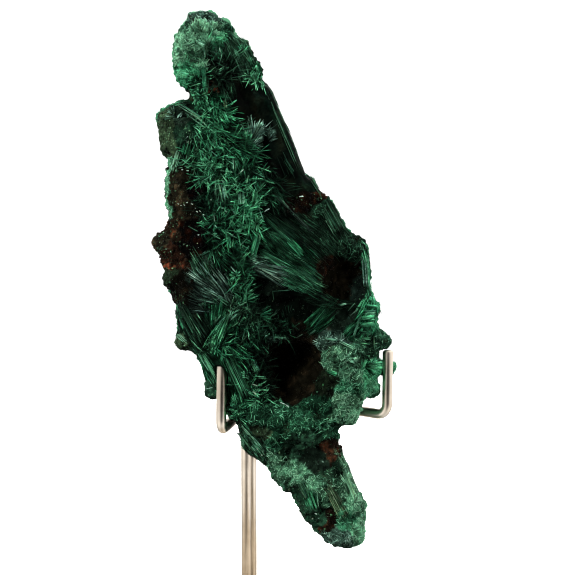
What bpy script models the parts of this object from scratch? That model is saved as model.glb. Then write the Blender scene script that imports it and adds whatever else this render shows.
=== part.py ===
"""Fibrous malachite specimen held upright by a bent-rod claw stand.

Metres, +Z up, the specimen's show face towards -Y.  The origin is the centre of the
underside of the round foot.  The stone's front elevation was drawn on a sketch sheet
(u to the right, v down) as seen by an eye EYE_DISTANCE away and EYE_PITCH above the
level; at() turns a sketch point into a place at a chosen depth.
"""

import math

import bmesh
import bpy
import numpy as np
from mathutils import Vector

# ---------------------------------------------------------------- driving dimensions
ROD_D = 0.0025  # round rod of the stand
ROD_PITCH = 0.0028  # spacing of the rods in the post, which leaves 0.3 mm between them
GAP = 0.0003  # clearance between neighbouring pieces
BASE_D = 0.068  # foot, diameter
BASE_H = 0.009  # foot, thickness
BASE_EDGE = 0.0012  # foot, chamfer of both rims
SOCKET_DEPTH = 0.006  # how far the rods go into the foot
POST_Y = 0.0105  # the post's middle, behind the stone
BEND_POST = 0.0040  # centreline radius where a rod leaves the post
BEND_PRONG = 0.0028  # centreline radius at the foot of a prong
TIP_CHAMFER = 0.00032
TUBE_SIDES = 4  # bevel resolution: 12 sides

STONE_Y = -0.0090  # the stone's middle plane
STONE_WALL = 0.0026  # half height of the stone's rim before the faces swell
STONE_TRIS = 6300

# ---------------------------------------------------------------- the sketch sheet
EYE_DISTANCE = 0.55
EYE_PITCH = math.radians(8.5)
UNITS = 575.0
FOCAL_UNITS = EYE_DISTANCE / 0.000238
AIM = Vector((0.00963, STONE_Y, 0.0960))  # what the middle of the sheet looks at


def at(u, v, y):
    """The place at depth y that the sketch point (u, v) shows."""
    c, s = math.cos(EYE_PITCH), math.sin(EYE_PITCH)
    right = (u - UNITS / 2) / FOCAL_UNITS
    up = (UNITS / 2 - v) / FOCAL_UNITS
    eye = AIM - EYE_DISTANCE * Vector((0, c, -s))
    ray = Vector((right, c + s * up, -s + c * up))
    return eye + ray * ((y - eye.y) / ray.y)


def sheet(x, y, z):
    """Sketch coordinates (u, v) of arrays of places."""
    c, s = math.cos(EYE_PITCH), math.sin(EYE_PITCH)
    ex, ey, ez = AIM - EYE_DISTANCE * Vector((0, c, -s))
    dx, dy, dz = x - ex, y - ey, z - ez
    depth = dy * c - dz * s
    up = dy * s + dz * c
    return (
        UNITS / 2 + FOCAL_UNITS * dx / depth,
        UNITS / 2 - FOCAL_UNITS * up / depth,
    )


# The stone's outline, clockwise from the top knob.
OUTLINE = [
    (190, 13), (201, 11.5), (212, 13.5), (217, 20), (226, 21.5), (232, 27), (235, 36),
    (246, 41.5), (251, 49), (255, 59), (262, 73), (264, 84), (270, 87), (274, 95),
    (278, 106), (286, 123), (293, 141), (299, 157.5), (308, 178), (314, 177),
    (318, 186), (324, 197), (331, 201), (336, 208), (350, 233), (359, 238),
    (367, 246), (369.5, 257), (370.5, 273), (371, 289), (374, 299), (380, 306),
    (377, 318), (378, 327), (385, 333), (390.5, 341), (388, 346), (379, 349.5),
    (377.5, 357), (384, 361), (394, 361), (397, 367), (394, 374), (384, 374.5),
    (375, 379), (377, 387), (380, 393), (372, 395.5), (364, 398), (360, 402),
    (359, 414), (354, 422.5), (343, 424.5), (334, 427), (337.5, 435), (338.5, 444),
    (343, 455), (350, 467), (356, 483), (361, 495), (365.5, 506), (364.5, 518),
    (364, 531), (362, 541.5), (354, 546), (345, 545.5), (336, 546), (326, 539),
    (314, 527), (304, 515), (298, 503), (292, 494), (279, 484), (271, 473),
    (266, 465), (256, 459), (247, 453), (241, 443), (238.5, 431), (237, 422),
    (230, 419), (226, 411), (223, 399), (213, 398), (207, 395), (205.5, 384),
    (206, 378), (201.5, 368), (200, 358), (193, 351), (178, 345.5), (173.5, 342),
    (178, 334), (178.5, 325), (177, 312), (176, 301), (172, 291), (165, 281),
    (165, 272), (162.5, 263), (161, 254), (155, 248), (153.5, 239), (160, 234),
    (169, 228), (169.5, 216), (167, 202), (166, 188), (168, 173), (170, 162),
    (163, 151), (161, 141), (160, 129), (157, 121), (158, 113), (165, 107),
    (176, 103), (186, 101.5), (194, 102), (191.5, 96), (189, 89), (182, 84),
    (176, 78), (174, 68), (174, 57), (174.5, 44), (178, 33), (185, 22),
]

# Swells (+) and hollows (-) of the show face: u, v, half widths, turn in degrees, mm.
FRONT = [
    (212, 52, 30, 36, 0, 2.2),  # the knob
    (196, 40, 14, 16, 0, 0.8),
    (277, 138, 14, 62, -27, -3.0),  # the sunk plate along the upper right edge
    (178, 124, 17, 19, 0, 1.6),  # the dark lump at the upper left
    (232, 165, 22, 46, -8, 2.6),  # the needle mass
    (222, 235, 20, 34, 0, 1.6),
    (176, 238, 15, 30, 0, -0.6),  # the matrix at the left edge
    (160, 243, 9, 10, 0, 1.2),
    (285, 232, 34, 14, 38, 1.4),  # the great fan
    (342, 278, 17, 22, -10, -4.4),  # the hollow behind the right edge
    (206, 335, 22, 40, -20, 1.3),
    (250, 300, 22, 18, 0, -1.2),
    (292, 366, 25, 31, 0, -5.4),  # the dark hollow
    (345, 358, 15, 19, 0, 2.4),  # the velvet lumps
    (348, 404, 15, 13, 0, 2.8),
    (369, 376, 12, 10, 0, 1.0),
    (366, 325, 10, 16, 0, 1.2),
    (266, 418, 36, 14, 25, 1.6),
    (300, 452, 15, 17, -20, -2.0),
    (336, 460, 8, 22, -20, -1.2),
    (258, 447, 22, 9, 35, -1.2),
    (219, 384, 13, 26, 0, -2.4),  # room for the left prong
    (386, 366, 10, 13, 0, -0.8),  # and for the right one
    (322, 500, 18, 34, -38, 1.4),  # the tail
    (345, 525, 14, 14, 0, 0.8),
]

# The same for the back.
BACK = [
    (214, 58, 26, 30, 0, 1.0),
    (262, 150, 18, 52, -27, 1.4),
    (196, 150, 24, 26, 0, -1.6),
    (205, 235, 26, 34, 0, 1.8),
    (330, 262, 26, 34, -20, -2.2),
    (286, 318, 30, 28, 0, 1.2),
    (224, 352, 20, 30, -15, -1.4),
    (352, 362, 20, 24, 0, -2.4),
    (300, 470, 20, 26, -35, -1.2),
    (336, 512, 18, 22, -35, 1.2),
]


def humps(table, u, v):
    total = np.zeros_like(u)
    for u0, v0, su, sv, turn, mm in table:
        c, s = math.cos(math.radians(turn)), math.sin(math.radians(turn))
        du, dv = u - u0, v - v0
        a, b = (c * du + s * dv) / su, (-s * du + c * dv) / sv
        total += mm * np.exp(-0.7 * (a * a + b * b) ** 1.5)
    return total * 0.001


def waves(u, v, seed):
    """Irregular low lumps, about 3 to 8 mm across, between -1 and 1."""
    total = np.zeros_like(u)
    for k in range(9):
        turn = 2.399 * k + seed
        rate = 0.085 + 0.028 * k
        total += np.sin(rate * (math.cos(turn) * u + math.sin(turn) * v) + 1.7 * k * seed) / (
            1 + 0.35 * k
        )
    return total / 3.0


def ramp(x, low, high):
    t = np.clip((x - low) / (high - low), 0.0, 1.0)
    return t * t * (3 - 2 * t)


# ---------------------------------------------------------------- scene set-up
for old in list(bpy.data.objects):
    bpy.data.objects.remove(old)
for block in (bpy.data.meshes, bpy.data.curves, bpy.data.materials):
    for item in list(block):
        block.remove(item)

specimen = bpy.data.collections.new("malachite_on_stand")
bpy.context.scene.collection.children.link(specimen)
cutters = bpy.data.collections.new("cutters")
bpy.context.scene.collection.children.link(cutters)

root = bpy.data.objects.new("stand_root", None)
specimen.objects.link(root)


def material(name, colour, roughness, metallic):
    made = bpy.data.materials.new(name)
    made.use_nodes = True
    shader = made.node_tree.nodes["Principled BSDF"]
    shader.inputs["Base Color"].default_value = (*colour, 1.0)
    shader.inputs["Roughness"].default_value = roughness
    shader.inputs["Metallic"].default_value = metallic
    made.diffuse_color = (*colour, 1.0)
    return made


GREEN = material("malachite", (0.012, 0.085, 0.045), 0.6, 0.0)
NICKEL = material("champagne_nickel", (0.74, 0.68, 0.60), 0.22, 1.0)


def evaluated(obj):
    """A fixed mesh of an object as its modifiers leave it."""
    graph = bpy.context.evaluated_depsgraph_get()
    graph.update()
    return bpy.data.meshes.new_from_object(obj.evaluated_get(graph), depsgraph=graph)


# ---------------------------------------------------------------- the rods
def filleted(corners, radii, step=math.radians(13)):
    """Points along straight runs through corners, each inner corner rounded by an arc."""
    points = [Vector(corners[0])]
    for i in range(1, len(corners) - 1):
        here = Vector(corners[i])
        back = (Vector(corners[i - 1]) - here).normalized()
        on = (Vector(corners[i + 1]) - here).normalized()
        inner = back.angle(on)
        turn = math.pi - inner
        if turn < 1e-4:
            points.append(here)
            continue
        reach = radii[i - 1] / math.tan(inner / 2)
        middle = here + (back + on).normalized() * (radii[i - 1] / math.sin(inner / 2))
        start, axis = here + back * reach - middle, (-back).cross(on).normalized()
        count = max(2, math.ceil(turn / step))
        for k in range(count + 1):
            a = turn * k / count
            points.append(
                middle + start * math.cos(a) + axis.cross(start) * math.sin(a)
            )
    points.append(Vector(corners[-1]))
    return points


def rod_curve(name, points, radius, chamfer, collection):
    """A round rod on a poly spline with filled ends; the last point is a chamfered tip."""
    data = bpy.data.curves.new(name, "CURVE")
    data.dimensions = "3D"
    data.bevel_depth = radius
    data.bevel_resolution = TUBE_SIDES
    data.use_fill_caps = True
    data.twist_mode = "MINIMUM"
    points = list(points)
    sizes = [1.0] * len(points)
    if chamfer:
        tip = points[-1]
        on = (points[-1] - points[-2]).normalized()
        points.insert(-1, tip - on * chamfer)
        sizes = [1.0] * (len(points) - 1) + [1.0 - chamfer / radius]
    spline = data.splines.new("POLY")
    spline.points.add(len(points) - 1)
    for p, place, size in zip(spline.points, points, sizes, strict=True):
        p.co = (*place, 1.0)
        p.radius = size
    obj = bpy.data.objects.new(name, data)
    collection.objects.link(obj)
    return obj


def as_cutter(obj):
    """Turns a curve into a closed mesh that can cut, hidden from renders."""
    mesh = evaluated(obj)
    shell = bmesh.new()
    shell.from_mesh(mesh)
    bmesh.ops.remove_doubles(shell, verts=shell.verts, dist=1e-6)
    bmesh.ops.recalc_face_normals(shell, faces=shell.faces)
    shell.to_mesh(mesh)
    shell.free()
    made = bpy.data.objects.new(obj.name + "_mesh", mesh)
    made.matrix_world = obj.matrix_world
    cutters.objects.link(made)
    bpy.data.objects.remove(obj)
    made.hide_render = True
    made.display_type = "WIRE"
    return made


# The rods stand in a close row that is turned away from the front, so that the left
# claw's rod is in front, the right claw's rod half behind it and the rest's rod behind both.
lean = math.radians(61)
step_x, step_y = ROD_PITCH * math.cos(lean), ROD_PITCH * math.sin(lean)
left_foot = Vector((-step_x / 2, POST_Y - step_y / 2, 0))
right_foot = Vector((step_x / 2, POST_Y + step_y / 2, 0))
rest_foot = Vector((-step_x / 2, POST_Y + 1.5 * step_y, 0))

foot_z = BASE_H - SOCKET_DEPTH + GAP
LEFT_PRONG_Y, RIGHT_PRONG_Y = -0.0160, -0.0145
rod_r = ROD_D / 2
half_rod_units = rod_r / 0.000235

left_bottom = at(221.0, 436.0 - half_rod_units, LEFT_PRONG_Y)
left_top = at(222.0, 365.0, LEFT_PRONG_Y)
right_bottom = at(387.0, 420.5 - half_rod_units, RIGHT_PRONG_Y)
right_top = at(388.0, 350.5, RIGHT_PRONG_Y)


def claw(foot, bottom, top):
    z = bottom.z
    return filleted(
        [
            (foot.x, foot.y, foot_z),
            (foot.x, foot.y, z),
            (bottom.x, bottom.y, z),
            (top.x, top.y, top.z),
        ],
        [BEND_POST, BEND_PRONG],
    )


left_path = claw(left_foot, left_bottom, left_top)
right_path = claw(right_foot, right_bottom, right_top)
rest_path = filleted(
    [
        (rest_foot.x, rest_foot.y, foot_z),
        (rest_foot.x, rest_foot.y, 0.0800),
        (0.0010, 0.0042, 0.1040),
        (0.0014, 0.0042, 0.1150),
    ],
    [0.010, 0.007],
)

rods = {}
for name, path in (
    ("left_claw_rod", left_path),
    ("right_claw_rod", right_path),
    ("back_rest_rod", rest_path),
):
    rod = rod_curve(name, path, rod_r, TIP_CHAMFER, specimen)
    rod.data.materials.append(NICKEL)
    rod.parent = root
    rods[name] = rod

# ---------------------------------------------------------------- the foot
bpy.ops.mesh.primitive_cylinder_add(
    vertices=72, radius=BASE_D / 2, depth=BASE_H, location=(0, 0, BASE_H / 2)
)
base = bpy.context.active_object
base.name = "stand_base"
for collection in list(base.users_collection):
    collection.objects.unlink(base)
specimen.objects.link(base)
base.parent = root
base.data.materials.append(NICKEL)
rim = base.modifiers.new("rim", "BEVEL")
rim.width = BASE_EDGE
rim.segments = 3
rim.limit_method = "ANGLE"
rim.angle_limit = math.radians(40)
for name, foot in (("left", left_foot), ("right", right_foot), ("rest", rest_foot)):
    bpy.ops.mesh.primitive_cylinder_add(
        vertices=20,
        radius=(rod_r + GAP) / math.cos(math.pi / 20),
        depth=2 * SOCKET_DEPTH,
        location=(foot.x, foot.y, BASE_H),
    )
    socket = bpy.context.active_object
    socket.name = "socket_" + name
    for collection in list(socket.users_collection):
        collection.objects.unlink(socket)
    cutters.objects.link(socket)
    socket.hide_render = True
    socket.display_type = "WIRE"
    cut = base.modifiers.new("socket_" + name, "BOOLEAN")
    cut.operation = "DIFFERENCE"
    cut.solver = "EXACT"
    cut.object = socket
base.data.shade_smooth()
base.data.set_sharp_from_angle(angle=math.radians(28))

# ---------------------------------------------------------------- the stone
flat = bpy.data.curves.new("stone_outline", "CURVE")
flat.dimensions = "2D"
flat.fill_mode = "BOTH"
flat.extrude = 0.0080
ring = flat.splines.new("POLY")
ring.points.add(len(OUTLINE) - 1)
corner_xz = []
for p, (u, v) in zip(ring.points, OUTLINE, strict=True):
    place = at(u, v, STONE_Y)
    corner_xz.append((place.x, place.z))
    p.co = (place.x, place.z, 0.0, 1.0)
ring.use_cyclic_u = True
slab = bpy.data.objects.new("stone_slab", flat)
slab.rotation_euler = (math.radians(90), 0, 0)
slab.location = (0, STONE_Y, 0)
specimen.objects.link(slab)
bpy.context.view_layer.update()

mesh = evaluated(slab)
mesh.transform(slab.matrix_world)
bpy.data.objects.remove(slab)
shell = bmesh.new()
shell.from_mesh(mesh)
bmesh.ops.remove_doubles(shell, verts=shell.verts, dist=1e-6)
bmesh.ops.recalc_face_normals(shell, faces=shell.faces)
shell.to_mesh(mesh)
shell.free()
mesh.name = "malachite"
stone = bpy.data.objects.new("malachite", mesh)
specimen.objects.link(stone)
stone.parent = root


def bake(obj):
    """Makes the modifiers' result the object's own mesh."""
    made = evaluated(obj)
    obj.modifiers.clear()
    old, obj.data = obj.data, made
    bpy.data.meshes.remove(old)


def remesh(obj, size):
    mod = obj.modifiers.new("remesh", "REMESH")
    mod.mode = "VOXEL"
    mod.voxel_size = size
    bake(obj)


def places_of(mesh):
    co = np.empty(len(mesh.vertices) * 3, np.float32)
    mesh.vertices.foreach_get("co", co)
    return co.reshape(-1, 3).astype(float)


def set_places(mesh, co):
    mesh.vertices.foreach_set("co", co.astype(np.float32).ravel())
    mesh.update()


def rim_distance(x, z):
    """Distance from points to the outline, in metres."""
    ends = np.array(corner_xz)
    best = np.full(len(x), 1e9)
    for (ax, az), (bx, bz) in zip(ends, np.roll(ends, -1, axis=0), strict=True):
        dx, dz = bx - ax, bz - az
        t = np.clip(((x - ax) * dx + (z - az) * dz) / (dx * dx + dz * dz), 0, 1)
        best = np.minimum(best, np.hypot(x - ax - t * dx, z - az - t * dz))
    return best


remesh(stone, 0.0011)
co = places_of(stone.data)
x, y, z = co.T
u, v = sheet(x, np.full_like(x, STONE_Y), z)
inset = rim_distance(x, z)
side = np.clip((y - STONE_Y) / 0.0080, -1, 1)  # -1 on the show face, +1 on the back

# How thick the stone is, from knob to tail, and how its rim rounds over.
half = np.interp(
    v, [10, 60, 110, 170, 250, 340, 400, 440, 500, 548],
    [0.0085, 0.0095, 0.0098, 0.0110, 0.0118, 0.0115, 0.0095, 0.0078, 0.0080, 0.0072],
)
wall = np.full_like(u, STONE_WALL)
plate = ramp(u - (0.52 * (v - 85) + 262), -26, -8) * ramp(v, 80, 100) * (1 - ramp(v, 185, 215))
wall += 0.0022 * plate  # the plate breaks off square along the upper right edge
swell = 1 - np.exp(-inset / (0.0036 - 0.0012 * plate))
front = wall + (half - wall) * swell + (humps(FRONT, u, v) + 0.0006 * waves(u, v, 0.7)) * swell
back = (
    wall
    + (0.92 * half - wall) * swell
    + (humps(BACK, u, v) + 0.0013 * waves(u, v, 2.1)) * swell
)
# The middle plane wanders, and the tail hangs forward between the claw arms.
middle = (
    0.0012 * np.sin(0.017 * v + 0.6)
    + 0.0010 * np.sin(0.031 * u + 1.1)
    - 0.0030 * ramp(v, 340, 410) * (1 - 0.45 * ramp(v, 450, 520))
    - 0.0016 * ramp(u, 300, 360) * ramp(v, 300, 380)
)
# Beside and below the right arm the back stays in front of that arm, so that the part
# above it rests on the arm with a ledge and the tail hangs between the two claws.
run = (right_bottom.y - right_foot.y) / (right_bottom.x - right_foot.x)
arm_y = right_foot.y + run * (x - right_foot.x)
reach = arm_y - rod_r - 0.0007 + 0.020 * ramp(405 - v, 0, 9) + 0.012 * ramp(v, 424, 475)
back = np.minimum(back, np.maximum(reach - STONE_Y - middle, 0.0012 - front))
y = STONE_Y + middle + np.where(side < 0, side * front, side * back)
co[:, 1] = y
set_places(stone.data, co)
remesh(stone, 0.0010)

# Fine settling: low lumps pushed along the surface, kept off the drawn outline's inside.
co = places_of(stone.data)
normals = np.empty(len(stone.data.vertices) * 3, np.float32)
stone.data.vertices.foreach_get("normal", normals)
normals = normals.reshape(-1, 3)
lumps = sum(
    np.sin(rate * (co @ np.array(way)) + phase)
    for rate, way, phase in (
        (1250, (0.8, 0.5, 0.33), 0.3),
        (1480, (-0.4, 0.7, 0.6), 1.9),
        (1730, (0.2, -0.85, 0.5), 2.7),
        (2100, (-0.7, -0.2, 0.68), 4.1),
    )
)
co += normals * (0.00016 * lumps)[:, None]
set_places(stone.data, co)

soften = stone.modifiers.new("soften", "SMOOTH")
soften.factor = 0.5
soften.iterations = 2
bake(stone)
count = len(stone.data.polygons) * 2
thin = stone.modifiers.new("thin", "DECIMATE")
thin.ratio = STONE_TRIS / count
bake(stone)

# Grooves where the rods pass, with clearance.
for name, path in (("left", left_path), ("right", right_path), ("rest", rest_path)):
    groove = as_cutter(rod_curve("groove_" + name, path, rod_r + 0.00042, 0, cutters))
    cut = stone.modifiers.new("groove_" + name, "BOOLEAN")
    cut.operation = "DIFFERENCE"
    cut.solver = "EXACT"
    cut.object = groove
stone.data.materials.append(GREEN)
stone.data.shade_smooth()
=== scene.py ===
import math
import time

import bpy
import numpy as np
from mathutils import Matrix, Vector
from mathutils.bvhtree import BVHTree


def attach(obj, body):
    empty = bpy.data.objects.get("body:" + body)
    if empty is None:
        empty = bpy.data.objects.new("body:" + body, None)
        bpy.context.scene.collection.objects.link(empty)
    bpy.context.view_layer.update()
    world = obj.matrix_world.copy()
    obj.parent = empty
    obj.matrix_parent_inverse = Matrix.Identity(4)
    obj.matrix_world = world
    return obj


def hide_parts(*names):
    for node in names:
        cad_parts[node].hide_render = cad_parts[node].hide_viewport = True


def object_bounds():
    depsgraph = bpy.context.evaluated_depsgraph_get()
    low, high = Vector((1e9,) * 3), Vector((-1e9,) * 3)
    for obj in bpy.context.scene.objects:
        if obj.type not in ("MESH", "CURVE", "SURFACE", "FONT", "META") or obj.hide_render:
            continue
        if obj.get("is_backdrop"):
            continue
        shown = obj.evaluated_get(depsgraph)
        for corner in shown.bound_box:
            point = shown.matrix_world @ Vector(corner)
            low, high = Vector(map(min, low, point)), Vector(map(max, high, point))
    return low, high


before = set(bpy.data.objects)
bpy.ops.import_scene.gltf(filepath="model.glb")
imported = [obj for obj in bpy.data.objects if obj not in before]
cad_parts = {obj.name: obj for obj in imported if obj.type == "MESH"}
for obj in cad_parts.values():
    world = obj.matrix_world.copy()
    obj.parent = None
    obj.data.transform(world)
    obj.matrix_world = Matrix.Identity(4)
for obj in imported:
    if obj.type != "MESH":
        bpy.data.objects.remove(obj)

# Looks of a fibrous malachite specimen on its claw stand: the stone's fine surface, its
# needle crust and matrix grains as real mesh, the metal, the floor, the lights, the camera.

T0 = time.perf_counter()
CAD_BOX = [list(c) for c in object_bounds()]
SEED = 20417
rng = np.random.default_rng(SEED)
MM = 0.001


def note(text):
    print(f"[{time.perf_counter() - T0:6.1f} s] {text}", flush=True)


# ------------------------------------------------------------------ the sketch sheet
# The same sheet as the construction uses: (u, v) on a 575 by 575 front elevation.
EYE_DISTANCE = 0.55
EYE_PITCH = math.radians(8.5)
UNITS = 575.0
FOCAL = EYE_DISTANCE / 0.000238
STONE_Y = -0.0090
AIM = Vector((0.00963, STONE_Y, 0.0960))
COS, SIN = math.cos(EYE_PITCH), math.sin(EYE_PITCH)
EYE = AIM - EYE_DISTANCE * Vector((0, COS, -SIN))


def at(u, v, y):
    """The place at depth y that the sheet's point (u, v) shows."""
    ray = Vector(
        (
            (u - UNITS / 2) / FOCAL,
            COS + SIN * (UNITS / 2 - v) / FOCAL,
            -SIN + COS * (UNITS / 2 - v) / FOCAL,
        )
    )
    return EYE + ray * ((y - EYE.y) / ray.y)


def sheet(p):
    """Sheet coordinates of an (n, 3) array of places, as seen by the eye."""
    d = p - np.array(EYE)
    depth = d[:, 1] * COS - d[:, 2] * SIN
    up = d[:, 1] * SIN + d[:, 2] * COS
    return UNITS / 2 + FOCAL * d[:, 0] / depth, UNITS / 2 - FOCAL * up / depth


OUTLINE = [
    (190, 13), (195, 12), (201, 11.7), (207, 11.5), (213, 14), (217, 20), (222, 20), (227, 21.6),
    (232, 27), (235, 36), (240, 38), (246, 41.5), (250, 47), (251, 53), (255, 59), (259, 63),
    (260.5, 70), (262.5, 77), (261.5, 81), (264, 85), (267, 84), (270, 87), (274, 95),
    (278, 106), (286, 123), (293, 141), (299, 157.5), (307, 176), (309.5, 178), (314, 177), (317, 184),
    (320, 191), (323, 197), (328, 199), (331, 201), (335, 206), (337, 211.5), (343, 222), (350, 233),
    (356, 236.5), (359, 238), (364, 242), (367, 246), (369.3, 255), (370.5, 273), (371, 289), (374, 299),
    (378, 303), (380, 306), (378.5, 313), (376, 318), (377, 325), (380, 330), (385, 333), (389, 338), (390.5, 342),
    (388, 346), (379, 349), (376, 353), (378, 358), (384, 361), (394, 360.5), (397, 367), (394, 374), (384, 374),
    (377, 378), (376, 383), (379, 389), (380.5, 393), (372, 395.6), (366, 396), (362, 400), (360.5, 407),
    (359, 414), (356, 420), (352, 423.5), (342, 424.6), (334, 425), (333.5, 429), (337.5, 434.5), (338, 443),
    (342, 453), (347, 461), (350, 468), (353, 476), (356, 483), (358.5, 490), (361, 495), (365.5, 504), (364, 510),
    (364.5, 519), (364, 531), (363, 538), (360.5, 543), (354, 546), (348, 545.5), (342, 545), (336, 546.5),
    (330, 542.5), (326, 539), (320, 533.5), (314, 527), (309, 522), (304, 516), (301, 510), (298.5, 503.5), (293, 494),
    (286, 489), (279, 484), (274, 478), (271, 473), (268, 466), (262, 462.5), (256, 459), (250, 455), (246, 452.5),
    (242, 446), (240.5, 440), (238.5, 431), (238, 422), (234, 420), (230, 419), (227, 414), (225.5, 407), (224, 399), (219, 397.5),
    (213, 398), (208, 396), (205.5, 390), (205.5, 384), (207, 379), (203, 374), (201.5, 368), (201, 360), (198, 356), (193, 351), (188, 350),
    (178, 346), (173, 343.5), (177, 340), (176.5, 334), (179, 328), (178, 320), (177, 312), (177, 303),
    (174, 296), (172, 291), (168, 286), (165, 281), (164.5, 275), (165, 268), (162.5, 263), (163, 257), (157, 251.5), (154, 245),
    (153.3, 239), (157, 236), (162, 232), (168, 229), (170, 222), (169.5, 214), (167, 202), (166, 188), (168, 173), (171, 163),
    (167, 157), (163, 151), (162, 145), (160, 141), (161.5, 135), (160, 128), (157, 122), (157.5, 115), (161, 110), (167, 106.5),
    (172, 105), (176.5, 103), (185, 101.5), (192, 102.5), (194.5, 101), (191.5, 97), (190, 91), (184, 86), (178, 82),
    (176, 76), (173, 67), (174.5, 60), (174, 52), (174.5, 44), (176, 36), (181, 30), (184.5, 24), (187, 19),
]
OUTLINE = np.array(OUTLINE)
PX = 0.000238


def rim_distance(p):
    """Signed distance of places to the drawn outline as the eye sees them, in metres, negative inside, and the way out in x and z."""
    u, v = sheet(p)
    best = np.full(len(u), 1e9)
    way = np.zeros((len(u), 2))
    inside = np.zeros(len(u), bool)
    for (au, av), (bu, bv) in zip(OUTLINE, np.roll(OUTLINE, -1, axis=0), strict=True):
        du, dv = bu - au, bv - av
        t = np.clip(((u - au) * du + (v - av) * dv) / (du * du + dv * dv), 0, 1)
        ou, ov = au + t * du - u, av + t * dv - v
        d = np.hypot(ou, ov)
        near = d < best
        best[near] = d[near]
        way[near, 0], way[near, 1] = ou[near], -ov[near]
        inside ^= ((av > v) != (bv > v)) & (u < du * (v - av) / (dv if dv else 1e-12) + au)
    way /= np.maximum(best, 1e-9)[:, None]
    way[~inside] *= -1
    return np.where(inside, -best, best) * PX, way


# ------------------------------------------------------------------ noise on places
def hashed(ix, iy, iz, seed):
    h = (ix * 374761393 + iy * 668265263 + iz * 1440662683 + seed * 1274126177) & 0xFFFFFFFF
    h = ((h ^ (h >> 13)) * 1274126177) & 0xFFFFFFFF
    h = ((h ^ (h >> 15)) * 668265263) & 0xFFFFFFFF
    return (h ^ (h >> 16)) / 4294967295.0


def noise(p, size, seed):
    """Smooth noise between -1 and 1 with lumps of the given size in metres."""
    q = p / size
    i = np.floor(q).astype(np.int64)
    f = q - i
    f = f * f * (3 - 2 * f)
    total = np.zeros(len(p))
    for dx in (0, 1):
        for dy in (0, 1):
            for dz in (0, 1):
                w = (
                    (f[:, 0] if dx else 1 - f[:, 0])
                    * (f[:, 1] if dy else 1 - f[:, 1])
                    * (f[:, 2] if dz else 1 - f[:, 2])
                )
                total += w * hashed(i[:, 0] + dx, i[:, 1] + dy, i[:, 2] + dz, seed)
    return total * 2 - 1


def cells(p, size, seed):
    """Distance to the nearest scattered point in units of size, and that point's own number."""
    q = p / size
    i = np.floor(q).astype(np.int64)
    best = np.full(len(p), 9.0)
    own = np.zeros(len(p))
    for dx in (-1, 0, 1):
        for dy in (-1, 0, 1):
            for dz in (-1, 0, 1):
                c = i + (dx, dy, dz)
                s = np.stack([hashed(*c.T, seed + k) for k in range(3)], 1)
                d = np.linalg.norm(c + s - q, axis=1)
                near = d < best
                best[near] = d[near]
                own[near] = hashed(*c.T, seed + 7)[near]
    return best, own


def ramp(x, low, high):
    t = np.clip((x - low) / (high - low), 0.0, 1.0)
    return t * t * (3 - 2 * t)


def unit(a):
    return a / np.maximum(np.linalg.norm(a, axis=-1, keepdims=True), 1e-12)


# ------------------------------------------------------------------ the stone's regions
# Each row is a patch of one habit, an ellipse on the sheet:
# u, v, half widths, turn in degrees, habit, tone, way of the fibres, strength of tone; the strength is partly the
# stone's own colour and partly painted light and shade that evens out how the lamps light each patch
# Habits: N criss-cross needles, C combed fibres, V velvet, G matrix grains, O dark hollow whose darkness is partly
# painted shade, P bare plate, T fine tufts.
# Way: an angle on the sheet (0 right, 90 up) or a point that the fibres spread from.
TONES = {
    "bright": (0.031, 0.190, 0.092),
    "green": (0.0195, 0.100, 0.050),
    "mid": (0.0150, 0.060, 0.0325),
    "deep": (0.0088, 0.026, 0.0152),
    "black": (0.0045, 0.009, 0.0060),
    "slate": (0.031, 0.062, 0.047),
    "moss": (0.042, 0.112, 0.066),
    "pale": (0.052, 0.150, 0.093),
    "olive": (0.0205, 0.036, 0.0195),
    "plate": (0.0066, 0.0095, 0.0058),
    "earth": (0.0064, 0.0058, 0.0034),
    "umber": (0.0060, 0.0040, 0.0024),
    "rust": (0.0160, 0.0078, 0.0046),
    # white: painted glints, bright flecks that stand for highlights on the crystals
    "white": (0.30, 0.52, 0.40),
}
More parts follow.
